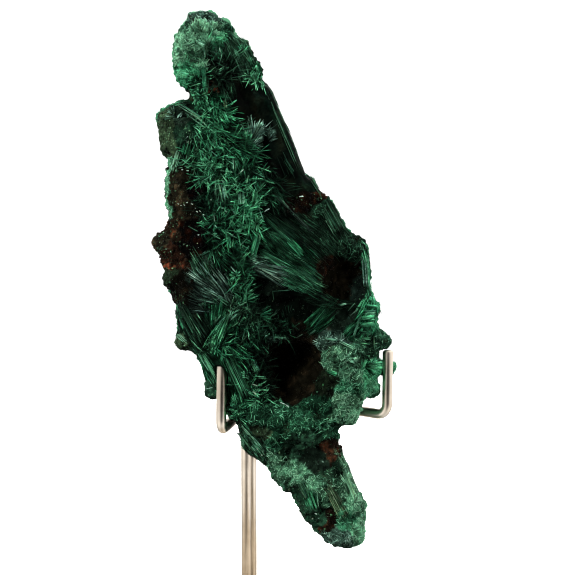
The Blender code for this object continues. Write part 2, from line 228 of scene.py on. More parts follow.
FRONT = [
    (194, 45, 15, 22, 0, "T", "moss", None, 0.55),
    (199, 26, 9, 9, 0, "T", "moss", (205, 42), 2.06),
    (186, 40, 9, 8, 0, "T", "moss", (197, 50), 1.04),
    (181, 56, 7, 9, 0, "T", "moss", (195, 53), 1.64),
    (194.5, 53, 8, 9, 0, "T", "green", (194.5, 52), 1.89),
    (185, 72, 9, 9, 0, "T", "bright", (197, 64), 2.48),
    (214, 30, 7, 8, 0, "T", "moss", (208, 44), 0.95),
    (206, 42, 6, 5, 0, "T", "moss", (208, 53), 0.36),
    (203, 20, 14, 8, 0, "V", "slate", None, 0.47),
    (188, 72, 12, 12, 0, "T", "bright", None, 0.49),
    (208, 53, 6, 7, 0, "O", "umber", None, 0.15),
    (215, 40, 9, 12, 0, "T", "green", -80, 0.59),
    (240, 52, 12, 26, -26, "C", "deep", -64, 2.10),
    (228, 32, 8, 8, 0, "V", "mid", None, 0.15),
    (222, 72, 12, 12, 0, "N", "deep", None, 0.76),
    (213, 88, 6, 8, 0, "G", "rust", None, 4.00),
    (256, 75, 6, 10, -20, "N", "green", None, 4.00),
    (199, 93, 9, 12, 0, "N", "green", None, 2.32),
    (218, 108, 12, 14, -30, "N", "bright", -50, 0.49),
    (245, 104, 17, 20, -10, "P", "plate", -70, 0.15),
    (228, 92, 8, 12, 0, "C", "deep", -75, 1.39),
    (268, 112, 8, 32, -26, "P", "black", -63, 0.39),
    (286, 155, 12, 34, -26, "P", "black", -63, 0.17),
    (275, 118, 4, 34, -26, "P", "deep", -63, 0.15),
    (300, 170, 5, 22, -26, "P", "deep", -63, 0.15),
    (284, 172, 6, 18, -26, "P", "black", -60, 0.15),
    (302, 205, 14, 8, -20, "G", "umber", None, 1.12),
    (254, 134, 9, 9, 10, "C", "slate", (249, 146), 3.77),
    (271, 134, 7, 6, 0, "V", "slate", None, 0.44),
    (262, 152, 8, 12, 0, "O", "black", None, 0.15),
    (178, 113, 14, 9, 10, "G", "black", None, 4.00),
    (165, 118, 8, 9, 0, "G", "olive", None, 2.06),
    (168, 142, 9, 10, 0, "G", "olive", None, 3.26),
    (184, 135, 10, 10, 0, "G", "deep", None, 2.26),
    (188, 152, 9, 9, 0, "C", "moss", 72, 0.36),
    (206, 125, 14, 16, -35, "N", "green", -38, 1.33),
    (232, 140, 15, 14, -30, "N", "green", -40, 0.24),
    (212, 165, 16, 16, 0, "N", "green", None, 1.07),
    (240, 178, 15, 20, 0, "N", "green", None, 0.68),
    (226, 192, 7, 14, 0, "C", "pale", -84, 0.45),
    (250, 215, 13, 20, 0, "N", "bright", None, 1.62),
    (231, 222, 14, 16, 0, "N", "green", None, 0.79),
    (265, 180, 9, 22, -20, "N", "mid", -60, 0.28),
    (245, 245, 12, 12, 0, "N", "green", -55, 0.15),
    (186, 172, 13, 9, 0, "G", "earth", None, 1.89),
    (169, 185, 3, 18, 0, "V", "deep", None, 4.00),
    (171, 210, 3, 8, 0, "V", "deep", None, 4.00),
    (177, 192, 9, 16, 0, "G", "earth", None, 4.00),
    (196, 190, 8, 14, 0, "G", "umber", None, 0.15),
    (206, 205, 9, 11, 0, "N", "mid", None, 0.24),
    (188, 212, 16, 7, 0, "G", "earth", None, 2.23),
    (194, 232, 17, 14, 0, "G", "rust", None, 0.15),
    (174, 228, 9, 11, 0, "G", "umber", None, 4.00),
    (160, 243, 8, 9, 0, "G", "earth", None, 4.00),
    (176, 257, 12, 11, 0, "G", "rust", None, 2.37),
    (190, 252, 10, 9, 0, "G", "umber", None, 0.57),
    (168, 276, 9, 9, 0, "G", "olive", None, 1.75),
    (181, 288, 11, 16, 0, "G", "earth", None, 1.47),
    (213, 238, 10, 9, 0, "N", "green", None, 0.24),
    (222, 258, 13, 9, -15, "N", "green", -30, 0.24),
    (205, 265, 9, 10, 0, "C", "deep", -60, 3.01),
    (212, 285, 14, 14, -45, "C", "slate", (234, 306), 0.67),
    (196, 300, 9, 12, 0, "C", "slate", (224, 312), 0.15),
    (238, 275, 8, 14, -20, "N", "green", 60, 0.73),
    (236, 298, 9, 12, 0, "N", "green", 65, 1.89),
    (280, 222, 26, 11, 38, "C", "deep", -38, 0.19),
    (300, 232, 16, 12, 38, "C", "deep", -38, 1.05),
    (275, 240, 20, 9, 35, "C", "mid", -36, 0.98),
    (296, 248, 10, 4, 40, "C", "bright", -40, 0.23),
    (290, 262, 22, 7, 30, "C", "mid", -32, 0.61),
    (268, 268, 14, 8, 10, "C", "slate", -20, 0.31),
    (300, 281, 20, 8, 30, "C", "mid", -30, 1.91),
    (255, 262, 8, 6, 0, "C", "slate", (246, 268), 4.00),
    (262, 285, 14, 9, 0, "O", "black", None, 1.41),
    (335, 226, 16, 14, -55, "C", "deep", -58, 0.56),
    (318, 210, 9, 8, 0, "V", "deep", None, 0.38),
    (352, 246, 13, 10, -30, "V", "deep", None, 0.23),
    (324, 248, 10, 10, 0, "C", "deep", -40, 1.24),
    (342, 278, 15, 17, -10, "O", "earth", None, 1.49),
    (326, 268, 7, 10, 0, "G", "umber", None, 1.33),
    (367, 272, 4, 26, 0, "C", "green", -86, 2.13),
    (358, 290, 8, 12, 0, "G", "slate", None, 0.33),
    (330, 300, 22, 6, 12, "C", "deep", -10, 0.34),
    (285, 304, 20, 10, 0, "O", "black", None, 0.67),
    (318, 322, 12, 7, -38, "C", "green", 40, 0.30),
    (343, 316, 11, 10, 0, "O", "black", None, 2.69),
    (369, 316, 9, 12, 0, "C", "bright", 48, 1.12),
    (358, 332, 9, 8, 30, "C", "green", 40, 1.09),
    (255, 318, 14, 10, 0, "N", "deep", None, 1.32),
    (268, 330, 16, 9, 0, "N", "mid", None, 0.54),
    (300, 338, 18, 7, 0, "G", "earth", None, 1.78),
    (276, 338, 9, 4, 0, "V", "slate", None, 0.15),
    (292, 366, 23, 26, 0, "O", "earth", None, 2.00),
    (262, 372, 9, 18, -20, "N", "deep", None, 0.24),
    (253, 352, 9, 10, 0, "N", "mid", None, 0.15),
    (332, 340, 16, 7, 0, "V", "slate", None, 0.50),
    (342, 358, 15, 14, 0, "V", "moss", None, 0.47),
    (361, 346, 9, 8, 0, "V", "deep", -80, 0.71),
    (383, 341, 8, 7, 0, "V", "deep", None, 0.85),
    (356, 372, 8, 8, 0, "V", "moss", None, 0.48),
    (372, 370, 13, 8, 0, "C", "bright", (352, 372), 4.00),
    (372, 388, 9, 7, 0, "V", "mid", None, 2.23),
    (350, 388, 12, 7, 0, "V", "mid", None, 1.03),
    (348, 405, 13, 13, 0, "V", "moss", None, 1.27),
    (325, 385, 10, 12, 0, "G", "olive", None, 0.57),
    (318, 405, 14, 9, 0, "V", "mid", None, 0.23),
    (190, 322, 10, 20, -34, "C", "deep", -56, 1.21),
    (183, 343, 8, 5, -20, "G", "olive", None, 4.00),
    (204, 334, 8, 14, -20, "C", "deep", -58, 0.45),
    (222, 322, 9, 16, -25, "C", "green", (211, 352), 0.60),
    (232, 312, 8, 9, 0, "N", "moss", 60, 0.60),
    (238, 332, 8, 9, 0, "N", "green", None, 0.41),
    (211, 346, 8, 8, 0, "C", "bright", 62, 4.00),
    (226, 350, 9, 9, 0, "N", "bright", -20, 0.76),
    (203, 357, 8, 8, 0, "C", "mid", -58, 4.00),
    (216, 372, 10, 18, -30, "C", "green", -60, 0.68),
    (211, 388, 6, 9, 0, "G", "deep", None, 3.40),
    (236, 385, 11, 30, -30, "C", "green", -61, 0.62),
    (252, 395, 7, 14, -20, "N", "green", None, 3.63),
    (232, 412, 8, 9, 0, "N", "green", None, 3.15),
    (258, 416, 14, 9, 20, "V", "mid", None, 0.31),
    (284, 412, 14, 8, 0, "V", "mid", None, 0.41),
    (305, 420, 12, 8, 0, "V", "mid", None, 0.53),
    (246, 440, 7, 14, -30, "C", "deep", -52, 4.00),
    (258, 448, 8, 8, 0, "C", "deep", -45, 3.41),
    (262, 432, 10, 7, 30, "G", "olive", None, 2.80),
    (276, 440, 9, 7, 0, "V", "mid", None, 0.34),
    (290, 447, 10, 7, 0, "G", "deep", None, 3.51),
    (277, 459, 9, 6, 20, "V", "moss", None, 0.62),
    (313, 440, 8, 9, 0, "G", "deep", None, 3.77),
    (325, 430, 8, 6, 0, "V", "mid", None, 0.46),
    (318, 458, 11, 10, 0, "O", "black", None, 4.00),
    (330, 452, 6, 12, -20, "G", "umber", None, 4.00),
    (338, 470, 4, 12, -20, "G", "deep", None, 1.31),
    (294, 474, 15, 8, 35, "V", "moss", None, 0.74),
    (283, 476, 8, 7, 0, "V", "moss", None, 0.35),
    (311, 488, 7, 6, 0, "V", "moss", None, 0.70),
    (309, 497, 6, 10, -35, "C", "green", -58, 3.23),
    (300, 495, 7, 9, -30, "G", "deep", None, 4.00),
    (332, 490, 10, 14, -25, "V", "moss", None, 0.36),
    (348, 480, 6, 16, -25, "C", "moss", -60, 4.00),
    (354, 503, 7, 14, -10, "V", "moss", -60, 1.06),
    (318, 516, 8, 12, -40, "G", "deep", None, 4.00),
    (330, 522, 9, 9, 0, "G", "umber", None, 4.00),
    (345, 520, 10, 12, 0, "V", "mid", None, 1.59),
    (340, 536, 14, 8, 0, "V", "slate", None, 0.71),
    (356, 532, 7, 9, 0, "V", "moss", None, 1.52),
]
# The back of the stone, which the front elevation doesn't show.
BACK = [
    (214, 48, 26, 30, 0, "V", "moss", None, 0.9),
    (236, 60, 12, 22, -26, "N", "green", None, 0.8),
    (196, 82, 12, 12, 0, "N", "mid", None, 1.0),
    (262, 120, 16, 30, -26, "C", "deep", -64, 1.2),
    (290, 165, 14, 32, -26, "C", "mid", -62, 0.9),
    (225, 118, 20, 22, 0, "N", "green", -60, 0.8),
    (180, 125, 18, 16, 0, "V", "mid", None, 1.0),
    (185, 170, 16, 22, 0, "G", "umber", None, 1.2),
    (225, 172, 18, 22, -20, "C", "mid", (248, 120), 1.0),
    (262, 205, 18, 24, -25, "N", "green", None, 0.8),
    (310, 215, 16, 22, -30, "V", "moss", None, 0.7),
    (345, 250, 16, 22, -20, "V", "mid", None, 1.0),
    (190, 232, 22, 20, 0, "G", "rust", None, 0.7),
    (225, 245, 16, 18, 0, "V", "moss", None, 0.8),
    (290, 255, 22, 20, -30, "C", "green", (262, 205), 0.8),
    (180, 285, 14, 18, 0, "V", "mid", None, 1.0),
    (212, 300, 18, 20, 0, "C", "deep", -50, 1.4),
    (250, 300, 18, 22, 0, "N", "mid", None, 0.9),
    (300, 305, 22, 18, 0, "V", "moss", None, 0.8),
    (345, 305, 14, 20, 0, "G", "umber", None, 1.0),
    (366, 330, 14, 24, 0, "V", "green", None, 0.8),
    (200, 340, 18, 16, -20, "V", "mid", None, 1.0),
    (235, 355, 18, 22, -20, "C", "green", -55, 0.8),
    (275, 355, 20, 20, 0, "G", "olive", None, 0.8),
    (318, 355, 20, 20, 0, "V", "mid", None, 1.1),
    (352, 385, 18, 20, 0, "V", "moss", None, 0.9),
    (240, 405, 16, 14, 0, "N", "green", None, 0.8),
    (285, 405, 22, 14, 0, "V", "deep", None, 1.2),
    (262, 440, 16, 14, 30, "C", "deep", -48, 1.2),
    (305, 445, 18, 18, 0, "V", "moss", None, 0.8),
    (290, 480, 16, 12, 35, "V", "mid", None, 1.0),
    (330, 485, 14, 20, -30, "C", "mid", -60, 1.0),
    (322, 520, 16, 12, -40, "G", "umber", None, 1.1),
    (350, 520, 14, 22, 0, "V", "moss", None, 0.8),
]


def region_of(u, v, p, table, seed):
    """The row of the table that each place belongs to, with ragged borders."""
    wu = u + 3.4 * noise(p, 2.6 * MM, seed) + 1.8 * noise(p, 0.9 * MM, seed + 1)
    wv = v + 3.4 * noise(p, 2.6 * MM, seed + 2) + 1.8 * noise(p, 0.9 * MM, seed + 3)
    best = np.full(len(u), 1e9)
    own = np.zeros(len(u), int)
    for k, (u0, v0, su, sv, turn, *_rest) in enumerate(table):
        c, s = math.cos(math.radians(turn)), math.sin(math.radians(turn))
        du, dv = wu - u0, wv - v0
        # a positive turn leans the ellipse's long side down to the right
        a, b = (c * du + s * dv) / su, (-s * du + c * dv) / sv
        q = a * a + b * b
        near = q < best
        best[near] = q[near]
        own[near] = k
    return own, best


HABITS = "NCVGOPT"


def columns(table):
    tone = np.array([TONES[r[6]] for r in table])
    habit = np.array([HABITS.index(r[5]) for r in table])
    gain = np.array([r[8] for r in table])
    angle = np.array([r[7] if isinstance(r[7], (int, float)) else np.nan for r in table])
    point = np.array([r[7] if isinstance(r[7], tuple) else (np.nan, np.nan) for r in table])
    return tone, habit, gain, angle, point


def described(p, normal):
    """Habit, tone and fibre way (on the sheet) of places on the stone."""
    u, v = sheet(p)
    back = p[:, 1] > STONE_Y + 0.0008 + 0.0014 * noise(p, 3 * MM, 91) + 0.0020 * np.clip(-normal[:, 1], -1, 1)
    habit = np.zeros(len(p), int)
    tone = np.zeros((len(p), 3))
    way = np.full((len(p), 2), np.nan)
    for table, mask, seed in ((FRONT, ~back, 11), (BACK, back, 47)):
        t, h, g, ang, pt = columns(table)
        own, _ = region_of(u[mask], v[mask], p[mask], table, seed)
        habit[mask] = h[own]
        tone[mask] = t[own] * g[own][:, None]
        w = np.stack([np.cos(np.radians(ang[own])), -np.sin(np.radians(ang[own]))], 1)
        out = np.stack([u[mask], v[mask]], 1) - pt[own]
        fan = ~np.isnan(out[:, 0])
        w[fan] = unit(out[fan])
        way[mask] = w
    return u, v, back, habit, tone, way


# ------------------------------------------------------------------ mesh helpers
def places_of(mesh):
    co = np.empty(len(mesh.vertices) * 3, np.float32)
    mesh.vertices.foreach_get("co", co)
    return co.reshape(-1, 3).astype(float)


def normals_of(mesh):
    n = np.empty(len(mesh.vertices) * 3, np.float32)
    mesh.vertices.foreach_get("normal", n)
    return n.reshape(-1, 3).astype(float)


def set_places(mesh, co):
    mesh.vertices.foreach_set("co", co.astype(np.float32).ravel())
    mesh.update()


def bake(obj):
    graph = bpy.context.evaluated_depsgraph_get()
    graph.update()
    made = bpy.data.meshes.new_from_object(obj.evaluated_get(graph), depsgraph=graph)
    obj.modifiers.clear()
    obj.data = made


def remesh(obj, size):
    mod = obj.modifiers.new("remesh", "REMESH")
    mod.mode = "VOXEL"
    mod.voxel_size = size
    bake(obj)


def smooth(obj, factor, steps):
    mod = obj.modifiers.new("smooth", "SMOOTH")
    mod.factor = factor
    mod.iterations = steps
    bake(obj)


def colour_layer(mesh, name, values):
    """A colour for each point of the mesh."""
    layer = mesh.color_attributes.new(name, "FLOAT_COLOR", "POINT")
    rgba = np.ones((len(values), 4), np.float32)
    rgba[:, :3] = values
    layer.data.foreach_set("color", rgba.ravel())


# ------------------------------------------------------------------ drawn sprays
# Fans, bands and single crystals that stand out on the front, each set on the sheet.
# fan: apex u, v, first and last angle (0 right, 90 up), inner and outer radius, count, tone, gain, width
# band: u, v to u, v, half breadth, count, tone, gain, width; lens: the same, drawn in at both ends
# stick: u, v to u, v, tone, gain, width. All in sheet units.
# Their gains are partly the crystals' own colour and partly painted light and shade that evens out how the lamps light
# them; strokes in the white tone are painted glints.
FANS = [
    (198, 37, 60, 132, 3, 18, 34, "moss", 0.49, 1.1),
    (208, 36, 20, 75, 2, 12, 14, "moss", 1.28, 1.0),
    (186, 68, 150, 250, 1, 11, 26, "bright", 1.87, 1.1),
    (181, 50, 120, 235, 1, 8, 20, "pale", 1.99, 1.1),
    (188, 33, 100, 170, 1, 10, 16, "pale", 0.56, 1.0),
    (219.5, 54, 112, 165, 1, 9, 7, "white", 0.24, 0.9),
    (255, 82, 40, 130, 1, 11, 22, "bright", 3.31, 1.1),
    (241, 55, 30, 110, 3, 12, 18, "green", 0.83, 1.1),
    (196, 97, 190, 280, 1, 9, 18, "green", 3.50, 1.0),
    (248.5, 146, 50, 72, 3, 30, 60, "slate", 1.55, 1.3),
    (248.5, 146, 72, 114, 3, 17, 34, "mid", 1.81, 1.3),
    (248.5, 146, 54, 66, 8, 30, 8, "pale", 3.50, 0.9),
    (266, 143, 20, 75, 3, 13, 26, "slate", 0.74, 1.1),
    (258, 196, 60, 160, 2, 15, 20, "green", 0.92, 1.1),
    (252, 182, 200, 330, 2, 13, 18, "green", 2.15, 1.1),
    (257, 223.5, 0, 360, 1, 9, 34, "bright", 3.50, 1.1),
    (244, 227, 140, 250, 1, 9, 16, "bright", 3.11, 1.1),
    (231, 237, 195, 335, 1, 13, 30, "bright", 0.74, 1.1),
    (243, 263, 4, 44, 2, 17, 18, "pale", 3.50, 1.1),
    (212, 249, -78, -38, 2, 28, 24, "green", 0.31, 1.1),
    (236, 276, 0, 360, 0, 7, 26, "bright", 3.50, 1.1),
    (224, 292, -80, -20, 1, 14, 12, "slate", 1.39, 0.9),
    (236, 178, -50, -39, 45, 108, 44, "deep", 0.15, 1.3),
    (236, 190, -45, -34, 36, 92, 50, "mid", 0.15, 1.2),
    (246, 243, -39, -27, 14, 78, 60, "mid", 0.67, 1.2),
    (244, 262, -34, -6, 5, 50, 52, "slate", 1.07, 1.1),
    (232, 306, -129, -104, 8, 42, 54, "green", 1.16, 1.1),
    (222, 345, -70, 25, 1, 12, 26, "bright", 1.50, 1.1),
    (227, 322, 18, 75, 2, 14, 12, "pale", 1.01, 0.8),
    (213, 327, 30, 80, 2, 12, 10, "pale", 0.45, 0.8),
    (206, 308, 90, 190, 1, 9, 16, "pale", 0.15, 1.0),
    (259, 316, -35, 52, 1, 15, 26, "green", 0.60, 1.0),
    (245, 300, -20, 60, 1, 12, 16, "green", 0.55, 1.0),
    (364, 366.5, -38, 28, 1, 21, 60, "bright", 3.50, 1.2),
    (358, 364, 90, 170, 1, 9, 16, "pale", 3.50, 1.0),
    (368, 300, -30, 30, 0, 9, 18, "bright", 0.67, 1.1),
    (342, 470, 25, 75, 1, 9, 14, "moss", 3.50, 1.1),
    (346, 480, 20, 75, 1, 10, 16, "moss", 3.50, 1.1),
    (350, 491, 20, 80, 1, 10, 16, "moss", 3.42, 1.1),
    (354, 503, 15, 75, 1, 11, 16, "moss", 3.50, 1.1),
    (356, 516, -10, 60, 1, 9, 14, "moss", 3.50, 1.1),
    (336, 434, 0, 80, 0, 6, 10, "moss", 0.9, 1.0),
    (352, 531, -60, 30, 1, 10, 14, "moss", 1.34, 1.1),
    (240, 407, 150, 260, 1, 12, 18, "green", 1.07, 1.0),
    (176, 116, 100, 200, 1, 14, 18, "slate", 1.46, 1.0),
    (184, 140, -60, 60, 1, 7, 5, "white", 0.20, 0.8),
    (196, 300, -60, 20, 1, 14, 16, "slate", 0.20, 1.0),
    (243, 371, -20, 70, 1, 10, 12, "mid", 0.21, 1.0),
]
BANDS = [
    (186, 47, 196, 41.5, 2.4, 12, "pale", 1.03, 1.1),
    (196, 41.5, 205, 46, 2.4, 12, "pale", 0.99, 1.1),
    (205, 46, 205.5, 59, 2.2, 12, "moss", 1.20, 1.1),
    (189, 59, 201, 63, 2.4, 12, "moss", 0.59, 1.1),
    (178, 73, 190, 77, 4.0, 20, "bright", 2.96, 1.1),
    (223, 38, 227, 60, 3.0, 14, "mid", 0.15, 1.3),
    (217, 30, 223, 24, 3.2, 14, "moss", 0.57, 1.2),
    (203.5, 66, 206.5, 98, 2.4, 16, "green", 1.18, 1.1),
    (176.5, 103, 204, 120, 2.4, 7, "pale", 2.04, 0.9),
    (186, 110, 208, 127, 3.0, 5, "moss", 2.14, 0.9),
    (203, 120, 238, 148, 4.6, 7, "green", 2.98, 1.0),
    (212, 117, 232, 139, 3.0, 4, "green", 0.57, 1.0),
    (179.5, 150, 172, 174, 3.2, 20, "moss", 3.50, 1.0),
    (188, 142, 184, 156, 4.0, 16, "green", 0.66, 1.0),
    (222, 180, 226.5, 201, 4.0, 14, "pale", 1.92, 1.2),
    (235, 155, 235.8, 173.5, 2.2, 6, "moss", 0.87, 1.8),
    (241, 190, 242, 206, 4.0, 16, "pale", 2.91, 1.1),
    (219.5, 209.5, 224, 208, 0.8, 4, "pale", 3.50, 1.0),
    (224, 208, 227.8, 213, 0.8, 4, "pale", 3.50, 1.0),
    (226, 233.5, 238.5, 238.7, 1.2, 6, "pale", 0.97, 1.1),
    (258.5, 232, 251, 260, 3.6, 28, "green", 1.18, 1.2),
    (260, 234, 254.5, 258, 0.8, 5, "pale", 1.88, 1.1),
    (257, 255.5, 271, 258, 1.5, 7, "pale", 1.46, 1.1),
    (197.5, 257.3, 212, 249, 1.0, 6, "pale", 0.90, 1.1),
    (203, 257, 229, 290, 8.0, 28, "slate", 1.31, 1.0),
    (213, 243, 236, 268, 3.2, 14, "mid", 0.21, 1.2),
    (219, 279, 232, 301, 5.0, 26, "slate", 0.72, 1.0),
    (274, 193, 290, 211, 1.3, 9, "slate", 0.32, 1.1),
    (288, 209, 314, 234, 1.4, 12, "slate", 0.24, 1.1),
    (288, 239, 304, 257, 3.6, 22, "bright", 0.49, 1.3),
    (297, 267, 322, 285, 8.0, 40, "mid", 0.63, 1.1),
    (283, 157, 296, 177, 1.6, 3, "mid", 0.48, 1.2),
    (277, 150, 293, 186, 5.5, 6, "deep", 0.15, 1.3),
    (269.5, 89, 307, 177, 0.8, 3, "deep", 2.32, 1.0),
    (266, 90, 302, 174, 3.5, 5, "deep", 1.45, 1.1),
    (312, 178, 326, 199, 3.2, 18, "deep", 2.40, 1.3),
    (324, 203, 340, 232, 7.0, 26, "deep", 1.40, 1.3),
    (336, 207, 351, 233, 1.0, 9, "mid", 1.7, 1.1),
    (361, 240, 368.5, 249, 1.2, 7, "mid", 3.50, 1.1),
    (368.5, 255, 370, 292, 1.6, 18, "green", 3.50, 1.1),
    (364, 258, 366, 290, 2.4, 14, "slate", 3.24, 1.0),
    (180, 306, 203, 345, 9.0, 56, "deep", 1.30, 1.2),
    (178, 306, 184, 332, 1.6, 12, "green", 0.95, 1.1),
    (176.5, 334, 193, 348, 2.6, 18, "moss", 2.77, 1.1),
    (201, 353, 221, 384, 8.0, 46, "mid", 2.57, 1.1),
    (227, 353, 250, 403, 6.0, 60, "mid", 0.65, 1.1),
    (214, 372, 224, 392, 4.0, 20, "mid", 1.3, 1.1),
    (218, 330, 213, 347, 6.0, 32, "bright", 1.92, 1.1),
    (223, 345, 240, 337, 2.0, 10, "green", 0.15, 1.1),
    (274, 336, 289, 338, 1.8, 10, "pale", 1.30, 1.1),
    (261, 339, 269, 331, 3.0, 14, "pale", 0.74, 1.1),
    (250, 357, 258, 374, 4.5, 20, "mid", 3.50, 1.1),
    (366, 306, 380, 307, 2.0, 16, "bright", 0.52, 1.1),
    (364, 312.5, 377, 311.5, 1.8, 12, "pale", 1.05, 1.1),
    (361, 319.5, 377, 317, 2.4, 18, "bright", 1.34, 1.1),
    (359, 326, 375, 323, 1.8, 12, "green", 3.07, 1.1),
    (361.5, 314, 353, 339, 1.3, 10, "pale", 0.46, 1.0),
    (358, 332, 373, 334, 1.2, 8, "mid", 0.46, 1.1),
    (373.5, 336, 374.5, 350, 0.9, 6, "moss", 0.82, 1.1),
    (359, 338, 372, 339, 0.8, 5, "mid", 0.59, 1.1),
    (360, 343, 372, 344, 0.8, 5, "mid", 0.95, 1.1),
    (322, 338, 338, 341, 1.2, 8, "pale", 0.88, 1.1),
    (338, 341, 355, 349, 1.2, 8, "pale", 0.62, 1.1),
    (327, 371, 338, 374.5, 1.7, 10, "bright", 1.21, 1.1),
    (327, 308, 311, 328, 2.8, 20, "green", 0.37, 1.1),
    (239, 423, 268, 455, 0.9, 14, "pale", 3.50, 1.0),
    (239, 431, 262, 460, 5.0, 30, "deep", 3.27, 1.5),
    (308.5, 491, 315, 511, 3.4, 24, "bright", 1.31, 1.2),
    (316.7, 494, 319, 509.5, 0.7, 5, "pale", 1.61, 1.0),
    (344, 466, 360, 504, 4.0, 34, "moss", 3.50, 1.1),
    (300, 482, 309, 500, 3.0, 16, "deep", 3.50, 1.1),
    (326, 482, 346, 520, 5.0, 26, "olive", 2.95, 1.1),
]
LENSES = [
    (204, 90, 207.5, 104, 1.7, 12, "bright", 3.50, 1.1),
    (221.5, 111, 229, 126, 4.2, 26, "bright", 1.33, 1.1),
    (211.5, 165.6, 226, 165.8, 2.4, 16, "bright", 3.50, 1.1),
    (238.5, 229, 248, 226, 2.2, 14, "bright", 3.50, 1.1),
    (337, 306, 349, 303, 1.1, 6, "pale", 3.50, 0.9),
    (184, 110.5, 176.5, 119, 1.3, 8, "slate", 3.50, 1.3),
    (225, 99, 226, 110, 2.0, 12, "olive", 2.23, 1.2),
]
# Sticks in the white tone are painted glints.
STICKS = [
    (245.2, 63, 248.6, 75.6, "pale", 0.9, 0.9), (236, 59, 241, 72.7, "pale", 0.8, 0.9),
    (256.3, 72.7, 248.6, 76.5, "pale", 0.9, 0.9), (234, 57, 240, 68, "moss", 0.9, 0.9),
    (212, 127, 241, 148, "bright", 1.1, 1.0), (184, 105.5, 204, 119, "pale", 0.8, 0.9),
    (197.3, 183.6, 216.9, 172.9, "pale", 1.0, 1.1), (198.7, 165.4, 206.6, 170.5, "pale", 1.0, 1.2),
    (199, 150, 207.5, 159.3, "pale", 0.9, 1.1), (219.7, 170.5, 233.7, 172.4, "pale", 1.0, 1.2),
    (238.3, 174.3, 243.9, 169.1, "white", 0.7, 1.1), (220.6, 173.3, 228.1, 183.1, "bright", 1.3, 1.4),
    (252.3, 171.5, 265.4, 178, "pale", 0.8, 1.0), (253.3, 177, 260.7, 189.2, "green", 1.2, 1.4),
    (248.6, 175.2, 246.7, 183.6, "moss", 1.2, 1.5), (243, 217.2, 251.4, 215.8, "pale", 1.2, 1.6),
    (258, 205, 263.5, 220, "pale", 0.8, 1.1), (230.9, 266.7, 235.5, 272.3, "white", 1.0, 1.1),
    (225, 294, 238, 282, "bright", 1.2, 1.2), (231, 289, 240, 277, "bright", 1.0, 1.1),
    (177, 163, 184, 161.8, "pale", 0.8, 0.9), (177, 165.8, 184, 164.6, "pale", 0.7, 0.9),
    (177.5, 168.4, 183, 167.2, "pale", 0.8, 0.9), (273, 291.5, 291, 290, "moss", 0.35, 1.0),
    (272.5, 291, 274, 301, "moss", 0.3, 0.9), (299, 196.8, 303.6, 196.3, "white", 1.2, 1.4),
    (267, 210, 269.5, 208.5, "white", 1.1, 1.2), (264.5, 212, 267, 209.5, "white", 0.9, 1.0),
    (217.3, 324.8, 224.7, 317.3, "pale", 1.1, 0.8), (215, 323, 221, 314.5, "pale", 1.1, 0.8),
    (230.3, 319.2, 238.7, 312.7, "pale", 1.1, 0.8), (229, 316, 240, 309, "pale", 1.1, 0.8),
    (232, 327, 238.5, 322, "pale", 1.0, 1.0), (220, 300, 228, 306, "pale", 1.1, 0.8),
    (218, 296, 230, 304, "pale", 0.8, 0.9), (238, 347, 249, 332.5, "moss", 1.0, 1.0),
    (280, 402.3, 285, 404.2, "white", 1.4, 1.2), (284.5, 404, 289, 407, "white", 1.4, 1.2),
    (252, 384, 258, 386, "white", 0.6, 1.3), (253, 391, 256.5, 395, "white", 0.6, 1.4),
    (205, 389, 213, 387.5, "white", 0.5, 1.0), (206.5, 384, 206.5, 391, "pale", 0.6, 1.0),
    (177.6, 203.6, 179, 204.2, "white", 0.8, 0.9), (180.4, 205.6, 181.8, 205.2, "white", 0.7, 0.9),
    (183.6, 204.4, 184.8, 205.6, "white", 0.9, 0.9), (194.2, 207.6, 195.8, 208.6, "white", 0.7, 0.9),
    (199.2, 210.4, 200.6, 211.8, "white", 0.8, 0.9), (158.4, 236, 159.8, 236.6, "pale", 1.0, 0.9),
    (165.6, 249.4, 167, 249, "white", 0.5, 0.9), (170, 251.6, 171.4, 252.2, "white", 0.5, 0.9),
    (181.5, 169.8, 183.2, 169.6, "white", 1.6, 1.6), (186.5, 170.6, 188.8, 170.8, "white", 1.6, 1.6),
    (196, 211, 197.8, 212.4, "white", 1.4, 1.3), (202.7, 214.9, 204.2, 215, "white", 1.5, 1.5),
    (186.2, 202.8, 187.8, 202.6, "white", 0.9, 1.3), (191, 203.6, 193, 204.4, "white", 0.8, 1.2),
    (210.5, 199.6, 212, 200.5, "white", 0.7, 1.2), (261, 455, 262.6, 455.4, "white", 1.3, 1.5),
    (256.8, 448.6, 258, 449.4, "white", 0.7, 1.2), (314.8, 513.4, 317, 514.2, "white", 1.1, 1.6),
    (312, 519, 313.2, 518.6, "white", 0.7, 1.4), (322, 461, 323.4, 462.4, "white", 0.5, 1.3),
    (215, 225.5, 217, 227.5, "white", 0.9, 1.3), (214, 215, 214.5, 222, "white", 0.5, 1.1),
    (221, 56, 219.5, 47.5, "white", 0.6, 0.9), (197, 27, 200, 19, "pale", 1.0, 1.0),
    (213, 29, 208, 39, "bright", 1.1, 1.2), (195, 168, 193, 176, "pale", 0.7, 1.0),
    (207, 147, 219, 158, "pale", 0.8, 1.0), (213, 140, 224, 152, "moss", 1.0, 1.1),
    (233, 150, 243, 163, "green", 1.1, 1.2), (246, 158, 240, 176, "mid", 1.5, 1.4),
    (262, 172, 270, 166, "pale", 0.6, 1.0), (229, 205, 237, 217, "pale", 0.7, 1.1),
    (236, 213, 229, 226, "pale", 0.7, 1.1), (249, 236, 240, 246, "moss", 1.0, 1.2),
    (188, 226, 199, 232, "pale", 0.4, 1.0), (208, 232, 222, 240, "pale", 0.7, 1.0),
    (296, 338, 303, 334, "slate", 1.0, 1.1), (309, 335, 316, 330, "slate", 1.0, 1.1),
    (348, 311, 355, 303, "slate", 1.1, 1.0), (350, 316, 358, 309, "slate", 1.1, 1.0),
]

